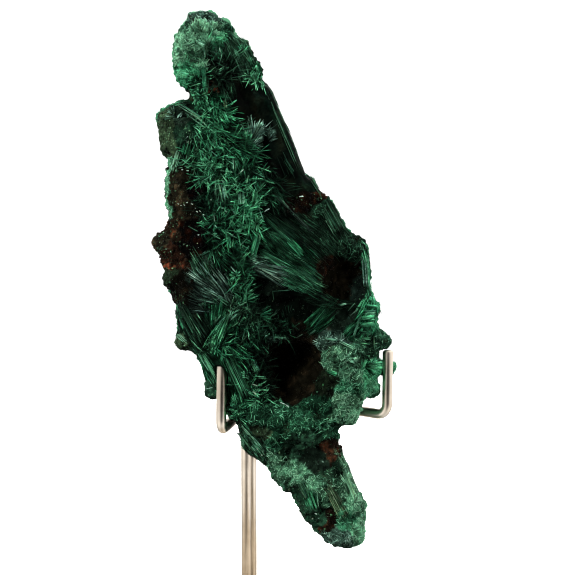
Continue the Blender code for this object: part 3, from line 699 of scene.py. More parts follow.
# ------------------------------------------------------------------ the stone's body
note("stone body")
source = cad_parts["malachite"]
body = bpy.data.objects.new("malachite_body", source.data.copy())
bpy.context.scene.collection.objects.link(body)
body.data.materials.clear()
remesh(body, 0.00055)
smooth(body, 0.5, 6)
co = places_of(body.data)
nor = normals_of(body.data)
# The rim goes back onto the drawn outline, which the coarse solid rounds off.
gap, way = rim_distance(co)
sight = np.abs(np.einsum("ij,ij->i", nor, unit(co - np.array(EYE))))
wall = (1 - ramp(sight, 0.15, 0.40)) * (1 - ramp(-gap, 0.0012, 0.0022))
over = np.clip(gap + 0.00030, 0, None)
move = np.where(gap > -0.00030, -over, np.clip(-gap - 0.00030, 0, 0.0009) * wall)
co[:, 0] += way[:, 0] * move
co[:, 2] += way[:, 1] * move
set_places(body.data, co)
remesh(body, 0.00042)
smooth(body, 0.5, 1)
co = places_of(body.data)
nor = normals_of(body.data)
note(f"body {len(co)} points")

u, v, back, habit, tone, way = described(co, nor)
depth_in = -rim_distance(co)[0]
inner = ramp(depth_in, 0.0002, 0.0020)
is_n, is_c, is_v, is_g, is_o, is_p, is_t = ((habit == k).astype(float) for k in range(7))


def blurred(values, steps):
    """Values of the body's points, evened out over their neighbours."""
    edges = np.empty(len(body.data.edges) * 2, np.int32)
    body.data.edges.foreach_get("vertices", edges)
    a, b = edges.reshape(-1, 2).T
    count = np.bincount(a, minlength=len(values)) + np.bincount(b, minlength=len(values)) + 1
    for _ in range(steps):
        values = (values + np.bincount(a, values[b], len(values)) + np.bincount(b, values[a], len(values))) / count
    return values


soft_n, soft_c, soft_v, soft_g, soft_o, soft_p, soft_t = (
    blurred(k, 4) for k in (is_n, is_c, is_v, is_g, is_o, is_p, is_t)
)

# Slow lumps everywhere, cauliflower lumps on velvet, crags on matrix, ribs on fibres.
c0, own0 = cells(co, 4.6 * MM, 3)
c1, own1 = cells(co, 2.3 * MM, 5)
c2, own2 = cells(co, 1.05 * MM, 9)
c3, own3 = cells(co, 0.62 * MM, 13)
b0, b1, b2 = (0.55 - 1.25 * c * c for c in (c0, c1, c2))
lump = 0.20 * noise(co, 3.4 * MM, 21) + 0.12 * noise(co, 1.3 * MM, 22)
velvet = 1.2 * b0 + 0.95 * b1 + 0.50 * b2 + 0.16 * (0.5 - c3) + 0.35 * (own1 - 0.5)
crag = (
    0.40 * (0.6 - c2)
    + 0.45 * (own2 - 0.5)
    + 0.22 * (own3 - 0.5)
    + 0.20 * noise(co, 0.7 * MM, 24)
    + 0.60 * (0.6 - c1)
    + 0.30 * (own1 - 0.5)
)
tangent = np.stack([np.nan_to_num(way[:, 0]), np.zeros(len(co)), -np.nan_to_num(way[:, 1])], 1)
across = unit(np.cross(tangent, nor) + 1e-9)
stretched = np.stack(
    [
        np.einsum("ij,ij->i", co, across) / 1.0,
        np.einsum("ij,ij->i", co, tangent) * 0.07,
        np.zeros(len(co)),
    ],
    1,
)
ribs = 0.09 * noise(stretched, 0.42 * MM, 31) + 0.20 * noise(stretched, 1.1 * MM, 32) + 0.22 * noise(stretched, 2.6 * MM, 33)
tangle = 0.55 * (0.62 - c1) + 0.35 * (own1 - 0.5) + 0.40 * (0.6 - c0) + 0.14 * noise(co, 0.7 * MM, 34)
height = (
    lump
    + soft_v * velvet
    + soft_g * crag
    + soft_o * (crag - 0.5 - 0.3 * (1 - c1))
    + soft_c * ribs
    + soft_n * (tangle - 0.25)
    + soft_p * 0.5 * ribs
    + soft_t * (0.8 * velvet + 0.3 * ribs)
)
# Hollows that the coarse solid only hints at: u, v, half widths, mm deeper.
for u0, v0, su, sv, deep in (
    (342, 280, 14, 18, 1.8), (292, 368, 21, 25, 2.6), (286, 306, 15, 8, 1.6),
    (343, 317, 9, 8, 1.4), (262, 153, 6, 9, 1.2), (318, 456, 10, 12, 1.2), (330, 446, 6, 9, 0.8),
    (263, 286, 10, 7, 1.3), (204, 262, 6, 7, 1.0), (209, 54, 4, 5, 1.4), (194.5, 52.4, 3.6, 4.2, 1.4),
    (184, 114, 8, 5, 0.9), (214, 88, 4, 4, 0.9), (246, 46, 3, 3.5, 0.9), (250, 57, 3, 3, 0.9),
    (242, 163, 4, 4, 1.0), (205, 18.5, 4, 2.5, 0.9), (196, 223, 9, 7, 0.9), (250, 237, 7, 5, 0.9),
    (286, 457, 9, 7, 0.5), (222, 148, 6, 4, 0.7), (247, 262, 5, 9, 0.9), (275, 232, 9, 3, 0.5),
    (316, 266, 7, 5, 0.8), (248, 333, 7, 6, 0.9), (176, 266, 5, 6, 0.8), (188, 190, 8, 5, 0.7),
    (240, 320, 6, 5, 0.9), (336, 384, 5, 4, 0.9), (330, 397, 6, 5, 0.7), (298, 286, 8, 3, 0.5),
):
    height -= np.where(back, 0, deep) * np.exp(-(((u - u0) / su) ** 2 + ((v - v0) / sv) ** 2) ** 1.3)
# Ridges and steps: u, v to u, v, half breadth, mm higher.
for ua, va, ub, vb, half, high in (
    (274, 193, 290, 211, 2.2, 0.9), (290, 211, 314, 235, 2.4, 0.9), (270, 88, 309, 177, 2.0, 0.5),
    (178, 304, 204, 346, 4.0, 0.6), (322, 338, 338, 341, 4.0, 0.9), (338, 341, 354, 349, 4.0, 0.9),
    (366, 306, 380, 307, 1.8, 0.9), (363, 312.5, 377, 312, 1.4, 0.7), (361, 319, 377, 317, 1.8, 0.8),
    (327, 308, 311, 328, 2.6, 0.9), (239, 423, 268, 455, 1.4, 0.6), (316.7, 494, 319, 510, 1.4, 0.6),
    (274, 337, 290, 339, 2.2, 0.9), (345, 468, 360, 505, 3.0, 0.6), (274, 468, 314, 490, 5.0, 0.8),
    (258.5, 232, 251, 260, 3.0, 0.9), (222, 180, 226, 201, 3.0, 0.6), (203, 120, 238, 148, 3.0, 0.5),
    (223, 38, 227, 60, 2.4, 0.6), (204, 66, 207, 98, 2.2, 0.5), (366, 256, 369, 292, 1.8, 0.6),
):
    ax, az = ub - ua, vb - va
    t = np.clip(((u - ua) * ax + (v - va) * az) / (ax * ax + az * az), 0, 1)
    off = np.hypot(u - ua - t * ax, v - va - t * az)
    height += np.where(back, 0, high) * np.exp(-((off / half) ** 2))
rim_height = 0.95 * b1 + 0.95 * b2 + 0.30 * (0.5 - c3) + 0.35 * (own2 - 0.5) + 0.65 * (own1 - 0.5) - 0.1
rough_rim = 1 - 0.85 * np.clip(soft_c + soft_p, 0, 1)
height = height * inner + (1 - inner) * rim_height * rough_rim * ramp(depth_in, -0.001, 0.0004)
co += nor * (height * MM)[:, None]
set_places(body.data, co)
note("body displaced")

# Tones of the body's surface, which shows between the crystals: darker by habit under the crystal crust as painted
# shade, most under the needles.
shade = np.select([habit == k for k in range(7)], [0.05, 0.10, 0.55, 0.30, 0.30, 1.0, 0.22])
mottle = noise(co, 2.6 * MM, 41) + 0.6 * noise(co, 1.0 * MM, 42)
# painted shade and light: darker in the grooves between ribs and the crevices between lumps and crags, lighter on their
# tops
crevice_shade = np.select(
    [is_c + is_p > 0, is_v + is_t > 0],
    [np.exp(3.0 * ribs), np.exp(0.9 * b0 + 1.5 * b1 + 1.3 * b2)],
    np.exp(1.6 * (0.6 - c2)),
)
grain = np.exp(0.35 * noise(co, 0.5 * MM, 43) + 0.30 * noise(co, 1.9 * MM, 44))
colour = tone * (shade * np.clip(crevice_shade, 0.1, 3.0) * grain)[:, None]
# rust shows in soft spots of the matrix, which is near black otherwise
red = ramp(tone[:, 0] / tone[:, 1], 0.6, 1.6)
glow = ramp(noise(co, 1.7 * MM, 45) + 0.5 * noise(co, 0.7 * MM, 46), 0.05, 0.75) * (0.25 + 0.75 * red)
warm = 1 + (glow * red)[:, None] * np.array((0.6, -0.05, -0.2))
# painted shade: the rust is dimmed in the hollows
glow = glow * np.where(is_o > 0, 0.5, 1.0)
soil = tone * ((0.20 + 1.0 * glow) * grain * np.clip(crevice_shade, 0.15, 2.5))[:, None] * warm
colour = np.where((is_g + is_o)[:, None] > 0, soil, colour)
colour = np.where(is_p[:, None] > 0, colour * np.exp(0.7 * mottle)[:, None] * (1 + 0.5 * mottle[:, None] * np.array((0.9, 0.1, -0.3))), colour)
stain = (is_n + is_v + 0.4 * is_c) * ramp(noise(co, 2.4 * MM, 47) + 0.4 * noise(co, 0.8 * MM, 48), 0.35, 0.8)
colour = colour * (1 - 0.6 * stain)[:, None] + 0.6 * stain[:, None] * np.array((0.012, 0.006, 0.003))
colour_layer(body.data, "tone", np.clip(colour, 0.0006, 1))
rough = body.data.attributes.new("matt", "FLOAT", "POINT")
rough.data.foreach_set("value", (0.45 * (is_c + is_p) + 0.72 * is_n + 0.78 * (is_v + is_t) + 0.60 * is_g + 0.85 * is_o).astype(np.float32))

# ------------------------------------------------------------------ rods, to keep clear of
ROD_R = 0.00125
ROD_PITCH = 0.0028
POST_Y = 0.0105
lean = math.radians(61)
sx, sy = ROD_PITCH * math.cos(lean), ROD_PITCH * math.sin(lean)
LEFT_Y, RIGHT_Y = -0.0160, -0.0145
half_rod = ROD_R / 0.000235
lb, lt = at(221.0, 436.0 - half_rod, LEFT_Y), at(222.0, 365.0, LEFT_Y)
rb, rt = at(387.0, 420.5 - half_rod, RIGHT_Y), at(388.0, 350.5, RIGHT_Y)
RODS = [
    [(-sx / 2, POST_Y - sy / 2, 0.003), (-sx / 2, POST_Y - sy / 2, lb.z), (lb.x, lb.y, lb.z), tuple(lt)],
    [(sx / 2, POST_Y + sy / 2, 0.003), (sx / 2, POST_Y + sy / 2, rb.z), (rb.x, rb.y, rb.z), tuple(rt)],
    [(-sx / 2, POST_Y + 1.5 * sy, 0.003), (-sx / 2, POST_Y + 1.5 * sy, 0.080), (0.0010, 0.0042, 0.1040), (0.0014, 0.0042, 0.1150)],
]


def rod_distance(p):
    """Distance from places to the nearest rod's middle line, and the way to it."""
    best = np.full(len(p), 1e9)
    to = np.zeros((len(p), 3))
    for path in RODS:
        for a, b in zip(path, path[1:], strict=False):
            a, b = np.array(a), np.array(b)
            d = b - a
            t = np.clip((p - a) @ d / (d @ d), 0, 1)
            off = a + t[:, None] * d - p
            dist = np.linalg.norm(off, axis=1)
            near = dist < best
            best[near], to[near] = dist[near], off[near]
    return best, to


co = places_of(body.data)
dist, to = rod_distance(co)
close = dist < ROD_R + 0.00032
co[close] -= unit(to[close]) * (ROD_R + 0.00032 - dist[close])[:, None]
set_places(body.data, co)

# ------------------------------------------------------------------ places for crystals
tri = body.data
tri.calc_loop_triangles()
corner = np.empty(len(tri.loop_triangles) * 3, np.int32)
tri.loop_triangles.foreach_get("vertices", corner)
corner = corner.reshape(-1, 3)
nor = normals_of(body.data)
# A smoother normal than the crust's own, for the crystals to stand on.
smooth_nor = unit(np.stack([blurred(nor[:, k], 10) for k in range(3)], 1))
va, vb, vc = (co[corner[:, k]] for k in range(3))
area = np.linalg.norm(np.cross(vb - va, vc - va), axis=1) / 2
note(f"area {area.sum() * 1e6:.0f} mm2, {len(corner)} triangles")
habit_at = habit[corner[:, 0]]
forward = nor[corner[:, 0], 1] < 0.25


def scattered(count, kinds):
    """Random places on the body's parts of the given habits, denser in front, with their normals."""
    weight = area * np.isin(habit_at, kinds) * np.where(forward, 1.0, 0.6)
    share = np.cumsum(weight) / weight.sum()
    pick = np.searchsorted(share, rng.random(count)).clip(0, len(corner) - 1)
    a, b = rng.random(count), rng.random(count)
    flip = a + b > 1
    a[flip], b[flip] = 1 - a[flip], 1 - b[flip]
    w = np.stack([1 - a - b, a, b], 1)
    p = np.einsum("ij,ijk->ik", w, co[corner[pick]])
    n = unit(np.einsum("ij,ijk->ik", w, smooth_nor[corner[pick]]))
    return p, n


def tangent_way(n, way, spread):
    """A unit way along the surface: the fibres' own, or a random one where there is none."""
    side = np.stack([way[:, 0], np.zeros(len(n)), -way[:, 1]], 1)
    loose = np.isnan(side[:, 0])
    a = rng.random(len(n)) * 2 * math.pi
    ref = unit(np.cross(n, np.array((0.13, 0.2, 0.97))) + 1e-9)
    other = np.cross(n, ref)
    anyway = ref * np.cos(a)[:, None] + other * np.sin(a)[:, None]
    side[loose] = anyway[loose]
    side -= n * np.einsum("ij,ij->i", side, n)[:, None]
    weak = np.linalg.norm(side, axis=1) < 0.2
    side[weak] = anyway[weak]
    side = unit(side)
    turn = rng.normal(0, 1, len(n)) * spread
    return unit(side * np.cos(turn)[:, None] + np.cross(n, side) * np.sin(turn)[:, None])


def crystals(name, root, way, length, width, colour, kind, matt, material):
    """Many thin crystals as one mesh: needle (prism with a point), fibre (pointed at both ends), grain (blunt octahedron)."""
    count = len(root)
    helper = np.where(np.abs(way[:, 2:3]) < 0.9, np.array((0.0, 0.0, 1.0)), np.array((1.0, 0.0, 0.0)))
    e1 = unit(np.cross(way, helper))
    e2 = np.cross(way, e1)
    a0 = rng.random(count) * 2 * math.pi
    rings, low = {
        "needle": ([(0.0, 0.80), (0.82, 1.0)], False),
        "fibre": ([(0.42, 1.0)], True),
        "grain": ([(0.5, 1.0)], True),
    }[kind]
    n = 4 if kind == "grain" else 3
    points, spots = [], []
    for share_l, share_w in rings:
        for k in range(n):
            a = a0 + 2 * math.pi * k / n
            r = (width * share_w * (0.5 if kind != "grain" else 1.0))[:, None]
            points.append(
                root + way * (length * share_l)[:, None] + (e1 * np.cos(a)[:, None] + e2 * np.sin(a)[:, None]) * r
            )
            spots.append((0.15 + 0.7 * share_l, 0.15 + 0.7 * k / (n - 1)))
    faces = []
    for r in range(len(rings) - 1):
        for k in range(n):
            a, b = r * n + k, r * n + (k + 1) % n
            faces += [(a, b, b + n), (a, b + n, a + n)]
    if low:
        points.append(root.copy())
        spots.append((0.12, 0.5))
        t = len(points) - 1
        faces += [(t, (k + 1) % n, k) for k in range(n)]
    else:
        faces.append((0, 2, 1))
    points.append(root + way * length[:, None])
    spots.append((0.88, 0.5))
    t, last = len(points) - 1, (len(rings) - 1) * n
    faces += [(last + k, last + (k + 1) % n, t) for k in range(n)]
    per = len(points)
    verts = np.stack(points, 1).reshape(-1, 3)
    faces = np.array(faces)
    index = ((np.arange(count) * per)[:, None, None] + faces[None]).reshape(-1, 3)
    mesh = bpy.data.meshes.new(name)
    mesh.vertices.add(len(verts))
    mesh.vertices.foreach_set("co", verts.astype(np.float32).ravel())
    mesh.loops.add(len(index) * 3)
    mesh.loops.foreach_set("vertex_index", index.ravel().astype(np.int32))
    mesh.polygons.add(len(index))
    mesh.polygons.foreach_set("loop_start", (np.arange(len(index)) * 3).astype(np.int32))
    mesh.update(calc_edges=True)
    # a root is darker than its tip: painted shade where the crystal springs from the crust
    root_shade_factor = 0.12 if kind == "needle" else 0.60
    root_to_tip_shade = np.array([root_shade_factor + (1.2 - root_shade_factor) * s[0] / 0.85 for s in spots])
    colour_layer(mesh, "tone", (colour[:, None, :] * root_to_tip_shade[None, :, None]).reshape(-1, 3))
    layer = mesh.attributes.new("matt", "FLOAT", "POINT")
    layer.data.foreach_set("value", np.repeat(matt, per).astype(np.float32))
    # one small cell of the map for each crystal
    grid = math.ceil(math.sqrt(count))
    cell = np.stack([np.arange(count) % grid, np.arange(count) // grid], 1) / grid
    uv = (cell[:, None, :] + np.array(spots)[None] / grid).reshape(-1, 2)[index.ravel()]
    mesh.uv_layers.new(name="OFBake").data.foreach_set("uv", uv.astype(np.float32).ravel())
    mesh.materials.append(material)
    obj = bpy.data.objects.new(name, mesh)
    bpy.context.scene.collection.objects.link(obj)
    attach(obj, "root")
    note(f"{name}: {count} crystals, {len(index)} triangles")
    return obj


def kept_in(root, way, length, slack):
    """Shortens crystals that pass the outline, and drops those that stay out of it or reach a rod."""
    for _ in range(4):
        gap = np.max([rim_distance(root + way * (length * t)[:, None])[0] for t in (0.5, 1.0)], 0)
        length = np.where(gap > slack, length * 0.6, length)
    ok = np.max([rim_distance(root + way * (length * t)[:, None])[0] for t in (0.2, 0.6, 1.0)], 0) < slack
    for t in (0.0, 0.5, 1.0):
        ok &= rod_distance(root + way * (length * t)[:, None])[0] > ROD_R + 0.00015
    return length, ok


def jitter(colour, amount, hue=0.06):
    """Own brightness and a slight own hue for each crystal; the very brightest are paler, a painted sheen."""
    gain = np.exp(rng.normal(0, amount, len(colour)))[:, None]
    tint = 1 + rng.normal(0, hue, (len(colour), 3)) * np.array((1.0, 0.35, 0.6))
    made = colour * gain * tint
    green = made[:, 1:2]
    pale = 0.12 * ramp(green, 0.12, 0.60) * green * np.array((1.0, 0.0, 0.5))
    made = (made + pale) / (1 + (green / 0.9) ** 2)
    made[:, 0] = np.minimum(made[:, 0], np.maximum(0.72 * made[:, 1], 0.03))
    return np.clip(made, 0.0008, 0.8)


# ------------------------------------------------------------------ materials
def stone_material(name, specular, bump_size, bump_depth):
    mat = bpy.data.materials.new(name)
    mat.use_nodes = True
    nt = mat.node_tree
    shader = nt.nodes["Principled BSDF"]
    link = nt.links.new

    def add(kind, **inputs):
        node = nt.nodes.new(kind)
        for key, value in inputs.items():
            node.inputs[key.replace("_", " ")].default_value = value
        return node

    tone_node = add("ShaderNodeAttribute")
    tone_node.attribute_name = "tone"
    matt_node = add("ShaderNodeAttribute")
    matt_node.attribute_name = "matt"
    coord = add("ShaderNodeTexCoord")
    fine = add("ShaderNodeTexNoise", Scale=2600.0, Detail=3.0, Roughness=0.6)
    broad = add("ShaderNodeTexNoise", Scale=420.0, Detail=2.0)
    gains = []
    for tex, low, high in ((fine, 0.62, 1.35), (broad, 0.75, 1.2)):
        link(coord.outputs["Object"], tex.inputs["Vector"])
        span = add("ShaderNodeMapRange", From_Min=0.3, From_Max=0.7, To_Min=low, To_Max=high)
        link(tex.outputs["Fac"], span.inputs["Value"])
        gains.append(span.outputs["Result"])
    both = add("ShaderNodeMath")
    both.operation = "MULTIPLY"
    link(gains[0], both.inputs[0])
    link(gains[1], both.inputs[1])
    times = add("ShaderNodeVectorMath")
    times.operation = "SCALE"
    link(tone_node.outputs["Color"], times.inputs[0])
    link(both.outputs["Value"], times.inputs["Scale"])
    link(times.outputs["Vector"], shader.inputs["Base Color"])
    more = add("ShaderNodeMath")
    more.operation = "MULTIPLY_ADD"
    more.inputs[1].default_value = 0.25
    link(fine.outputs["Fac"], more.inputs[0])
    link(matt_node.outputs["Fac"], more.inputs[2])
    less = add("ShaderNodeMath")
    less.operation = "SUBTRACT"
    less.inputs[1].default_value = 0.12
    less.use_clamp = True
    link(more.outputs["Value"], less.inputs[0])
    link(less.outputs["Value"], shader.inputs["Roughness"])
    grainy = add("ShaderNodeTexNoise", Scale=bump_size, Detail=4.0)
    link(coord.outputs["Object"], grainy.inputs["Vector"])
    bump = add("ShaderNodeBump", Strength=0.7, Distance=bump_depth)
    link(grainy.outputs["Fac"], bump.inputs["Height"])
    link(bump.outputs["Normal"], shader.inputs["Normal"])
    shader.inputs["Specular IOR Level"].default_value = specular
    return mat


BODY_MAT = stone_material("malachite_ground", 0.02, 1900.0, 0.00022)
NEEDLE_MAT = stone_material("malachite_needles", 0.10, 5200.0, 0.00004)
FIBRE_MAT = stone_material("malachite_fibres", 0.03, 5200.0, 0.00004)
VELVET_MAT = stone_material("malachite_velvet", 0.03, 5200.0, 0.00004)
GRAIN_MAT = stone_material("matrix_grains", 0.15, 3000.0, 0.00006)

body.data.materials.append(BODY_MAT)
body.data.shade_smooth()


def planar_map(obj):
    """Front faces on the left half of the map and back faces on the right half."""
    mesh = obj.data
    loops = np.empty(len(mesh.loops), np.int32)
    mesh.loops.foreach_get("vertex_index", loops)
    centre = np.empty(len(mesh.polygons) * 3, np.float32)
    mesh.polygons.foreach_get("normal", centre)
    behind = centre.reshape(-1, 3)[:, 1] > 0
    counts = np.empty(len(mesh.polygons), np.int32)
    mesh.polygons.foreach_get("loop_total", counts)
    behind = np.repeat(behind, counts)
    p = places_of(mesh)
    lo, hi = p.min(0), p.max(0)
    size = (hi - lo)[[0, 2]]
    uv = (p[loops][:, [0, 2]] - lo[[0, 2]]) / size
    uv = uv * (0.47, 0.96) + (0.015, 0.02)
    uv[behind, 0] += 0.5
    mesh.uv_layers.new(name="OFBake").data.foreach_set("uv", uv.astype(np.float32).ravel())


planar_map(body)
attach(body, "root")
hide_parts("malachite")

# ------------------------------------------------------------------ the drawn sprays, grown
note("drawn sprays")
surface = BVHTree.FromPolygons(co.tolist(), corner.tolist())
VIEW = np.array(EYE)


def front_depth(u, v):
    """Depth y at which the sheet's point meets the front of the stone, or None."""
    far = at(u, v, 0.05)
    hit = surface.ray_cast(EYE, (far - EYE).normalized())
    return None if hit[0] is None else hit[0].y


rows = []


def stroke(ua, va, ub, vb, tone, gain, width, low, high):
    """One crystal from (ua, va) to (ub, vb) on the sheet, lying on the stone, its ends low and high mm off it."""
    ya, yb = front_depth(ua, va), front_depth(ub, vb)
    if ya is None and yb is None:
        return
    ya = yb if ya is None else ya
    yb = ya if yb is None else yb
    reach = 0.30 * math.hypot(ub - ua, vb - va) * 0.000238
    fine = 0.7 if va < 100 and ua < 236 else 1.0
    nearer = min(ya, yb)
    ya, yb = min(ya, nearer + reach), min(yb, nearer + reach)
    a, b = at(ua, va, ya - low * MM), at(ub, vb, yb - high * MM)
    rows.append((*a, *b, width * fine * 0.000238, *(c * gain for c in TONES[tone])))


def along(ua, va, ub, vb, half, count, tone, gain, width, lens):
    du, dv = ub - ua, vb - va
    size = math.hypot(du, dv)
    nu, nv = -dv / size, du / size
    for _ in range(math.ceil(count * 0.95)):
        off = rng.uniform(-1, 1)
        room = math.sqrt(1 - off * off) if lens else 1.0
        span = room * rng.uniform(0.45, 0.95)
        start = 0.5 + (rng.random() - 0.5) * (room - span) - span / 2
        if not lens:
            start = rng.uniform(0, 1 - span)
        lean = rng.normal(0, 0.35)
        o1, o2 = off * half, off * half * (0.85 if lens else 1.0) + lean
        stroke(
            ua + du * start + nu * o1, va + dv * start + nv * o1,
            ua + du * (start + span) + nu * o2, va + dv * (start + span) + nv * o2,
            tone, gain * math.exp(rng.normal(0, 0.75)), width * rng.uniform(0.5, 0.85),
            rng.uniform(0.15, 0.55), rng.uniform(0.20, 0.70),
        )


for u0, v0, a0, a1, r0, r1, count, tone_name, gain, width in FANS:
    for _ in range(math.ceil(count * 0.95)):
        a = math.radians(rng.uniform(a0, a1))
        c, s = math.cos(a), -math.sin(a)
        first = r0 + (r1 - r0) * rng.uniform(0, 0.35)
        last = r0 + (r1 - r0) * rng.uniform(0.62, 1.0)
        stroke(
            u0 + c * first + rng.normal(0, 0.5), v0 + s * first + rng.normal(0, 0.5), u0 + c * last, v0 + s * last,
            tone_name, gain * math.exp(rng.normal(0, 0.75)), width * rng.uniform(0.5, 0.85),
            rng.uniform(0.05, 0.35), rng.uniform(0.30, 0.95),
        )
for row in BANDS:
    along(*row, lens=False)
for row in LENSES:
    along(*row, lens=True)
for ua, va, ub, vb, tone_name, gain, width in STICKS:
    stroke(ua, va, ub, vb, tone_name, gain, width, 0.8, 1.1)
rows = np.array(rows)
root, tip = rows[:, :3], rows[:, 3:6]
length = np.linalg.norm(tip - root, axis=1)
d = (tip - root) / length[:, None]
width = rows[:, 6]
length, ok = kept_in(root, d, length, -0.0001)
col = jitter(rows[:, 7:10] * 1.5, 0.10, 0.10)
crystals("drawn_sprays", root[ok], d[ok], length[ok], width[ok], col[ok], "needle", np.full(ok.sum(), 0.34), NEEDLE_MAT)

# Where the drawn sprays lie, on a sheet twice as fine, so that other crystals leave them free.
taken = np.zeros((1150, 1150), bool)
for f in np.linspace(0.05, 0.95, 25):
    fu, fv = sheet(root[ok] + (tip - root)[ok] * f)
    for du in (-1, 0, 1):
        for dv in (-1, 0, 1):
            taken[np.clip(fv * 2 + dv, 0, 1149).astype(int), np.clip(fu * 2 + du, 0, 1149).astype(int)] = True


def free(q, d, length, normal, share):
    """False for a part of the front's crystals that would lie over a drawn spray."""
    hidden = np.zeros(len(q), int)
    for f in (0.1, 0.5, 0.9):
        fu, fv = sheet(q + d * (length * f)[:, None])
        hidden += taken[np.clip(fv * 2, 0, 1149).astype(int), np.clip(fu * 2, 0, 1149).astype(int)]
    front = (q[:, 1] < STONE_Y + 0.002) & (normal[:, 1] < 0.3)
    return ~((hidden >= 2) & front & (rng.random(len(q)) < share))


# ------------------------------------------------------------------ sheaves of needles
def sheaves(pick, each, reach, spread, flat, lifts, widths, gain, sink, vary):
    """Bundles of needles that spread from a shared foot; returns root, way, length, width, colour."""
    q, m, t, w = p[pick], n[pick], tone[pick], way[pick]
    k = len(q)
    main = tangent_way(m, w, 0.6)
    lift = rng.uniform(*lifts, k)
    main = unit(main * np.cos(lift)[:, None] + m * np.sin(lift)[:, None])
    # the plane that the bundle opens in
    turn = rng.normal(0, 0.5, k)
    side = unit(np.cross(m, main) + 1e-9)
    side = unit(side * np.cos(turn)[:, None] + np.cross(main, side) * np.sin(turn)[:, None])
    over = np.cross(main, side)
    size = rng.uniform(*reach, k) * MM
    opening = rng.uniform(*spread, k)
    own = t * (gain * np.exp(rng.normal(0, vary, k) + 1.1 * noise(q, 2.2 * MM, 71)))[:, None]
    rep = np.repeat(np.arange(k), each)
    a = rng.uniform(-1, 1, len(rep)) * opening[rep]
    b = rng.normal(0, 1, len(rep)) * opening[rep] * flat
    d = unit(main[rep] + side[rep] * np.tan(a)[:, None] + over[rep] * np.tan(b)[:, None])
    foot = q[rep] + side[rep] * (rng.normal(0, 0.22, len(rep)) * MM)[:, None] - m[rep] * sink * MM
    foot += d * (rng.uniform(0.0, 0.3, len(rep)) * size[rep])[:, None]
    length = size[rep] * rng.uniform(0.45, 1.0, len(rep))
    width = rng.uniform(*widths, len(rep)) * MM
    length, ok = kept_in(foot, d, length, rng.uniform(-0.0002, 0.0002, len(foot)))
    ok &= free(foot, d, length, m[rep], 0.85)
    return [x[ok] for x in (foot, d, length, width, jitter(own[rep], 0.60))]


p, n = scattered(8600, (0,))
u, v, back, habit, tone, way = described(p, n)
N_INDEX = np.flatnonzero(habit == 0)
note(f"{len(N_INDEX)} places for needles")
# Three layers of sheaves: the lower ones sit deeper and are much dimmer, painted shade under the upper needles.
low = sheaves(N_INDEX[:2700], 5, (1.2, 3.0), (0.15, 0.8), 0.5, (0.02, 0.4), (0.12, 0.20), 0.10, 0.20, 0.7)
mid = sheaves(N_INDEX[2700:4400], 4, (1.3, 4.0), (0.10, 0.60), 0.5, (0.03, 0.5), (0.11, 0.18), 0.50, 0.15, 0.9)
high = sheaves(N_INDEX[4400:7600], 2, (1.5, 6.0), (0.05, 0.45), 0.6, (0.04, 0.5), (0.12, 0.19), 1.70, 0.05, 0.8)
parts = [np.concatenate(x) for x in zip(low, mid, high, strict=True)]
half = len(parts[0]) // 2 + 1
for k in range(2):
    r_, d_, l_, w_, c_ = (x[k * half : (k + 1) * half] for x in parts)
    crystals(f"needle_sheaves_{k + 1}", r_, d_, l_, w_, c_, "needle", np.full(len(r_), 0.34), NEEDLE_MAT)

# ------------------------------------------------------------------ combed fibres, side by side
p, n = scattered(24500, (1,))
u, v, back, habit, tone, way = described(p, n)
C_INDEX = np.flatnonzero(habit == 1)
note(f"{len(C_INDEX)} places for fibres")


def combed(pick, reach, widths, spread, lifts, gain, contrast, share):
    """Long fibres lying side by side; returns root, way, length, width, colour."""
    q, m, t, w = p[pick], n[pick], tone[pick], way[pick]
    d = tangent_way(m, w, spread)
    lift = rng.uniform(*lifts, len(q))
    d = unit(d * np.cos(lift)[:, None] + m * np.sin(lift)[:, None])
    length = rng.uniform(*reach, len(q)) * MM
    width = rng.uniform(*widths, len(q)) * MM
    root = q - d * (length * 0.45)[:, None]
    length, ok = kept_in(root, d, length, 0.0003)
    ok &= free(root, d, length, m, share)
    band = np.stack(
        [np.einsum("ij,ij->i", q, np.cross(m, d)), 0.10 * np.einsum("ij,ij->i", q, d), np.zeros(len(q))], 1
    )
    streak = np.exp(1.2 * noise(band, 0.55 * MM, 61) + 0.9 * noise(band, 1.5 * MM, 62))
    col = jitter(t * (streak * gain)[:, None], contrast)
    return [x[ok] for x in (root, d, length, width, col)]


# The lower bed of fibres is dimmer than the long ones over it: painted shade.
low = combed(C_INDEX[:13000], (1.5, 4.5), (0.12, 0.20), 0.08, (0.0, 0.06), 0.32, 0.6, 0.6)
high = combed(C_INDEX[13000:21000], (2.5, 8.0), (0.13, 0.24), 0.06, (0.01, 0.10), 1.15, 0.8, 0.9)
r_, d_, l_, w_, c_ = (np.concatenate(x) for x in zip(low, high, strict=True))
crystals("fibre_bundles", r_, d_, l_, w_, c_, "fibre", np.full(len(r_), 0.38), FIBRE_MAT)

# ------------------------------------------------------------------ fine tufts
p, n = scattered(9500, (6,))
u, v, back, habit, tone, way = described(p, n)
T_INDEX = np.flatnonzero(habit == 6)
note(f"{len(T_INDEX)} places for tufts")
q, m, t, w = p[T_INDEX], n[T_INDEX], tone[T_INDEX], way[T_INDEX]
d = tangent_way(m, w, 0.45)
lift = rng.uniform(0.0, 0.6, len(q))
d = unit(d * np.cos(lift)[:, None] + m * np.sin(lift)[:, None])
length = rng.uniform(0.5, 2.2, len(q)) * MM
width = rng.uniform(0.08, 0.14, len(q)) * MM
root = q - d * (length * 0.25)[:, None]
length, ok = kept_in(root, d, length, rng.uniform(-0.0002, 0.0002, len(q)))
ok &= free(root, d, length, m, 0.8)
c1, _own = cells(q, 2.3 * MM, 5)
c2, _own = cells(q, 1.05 * MM, 9)
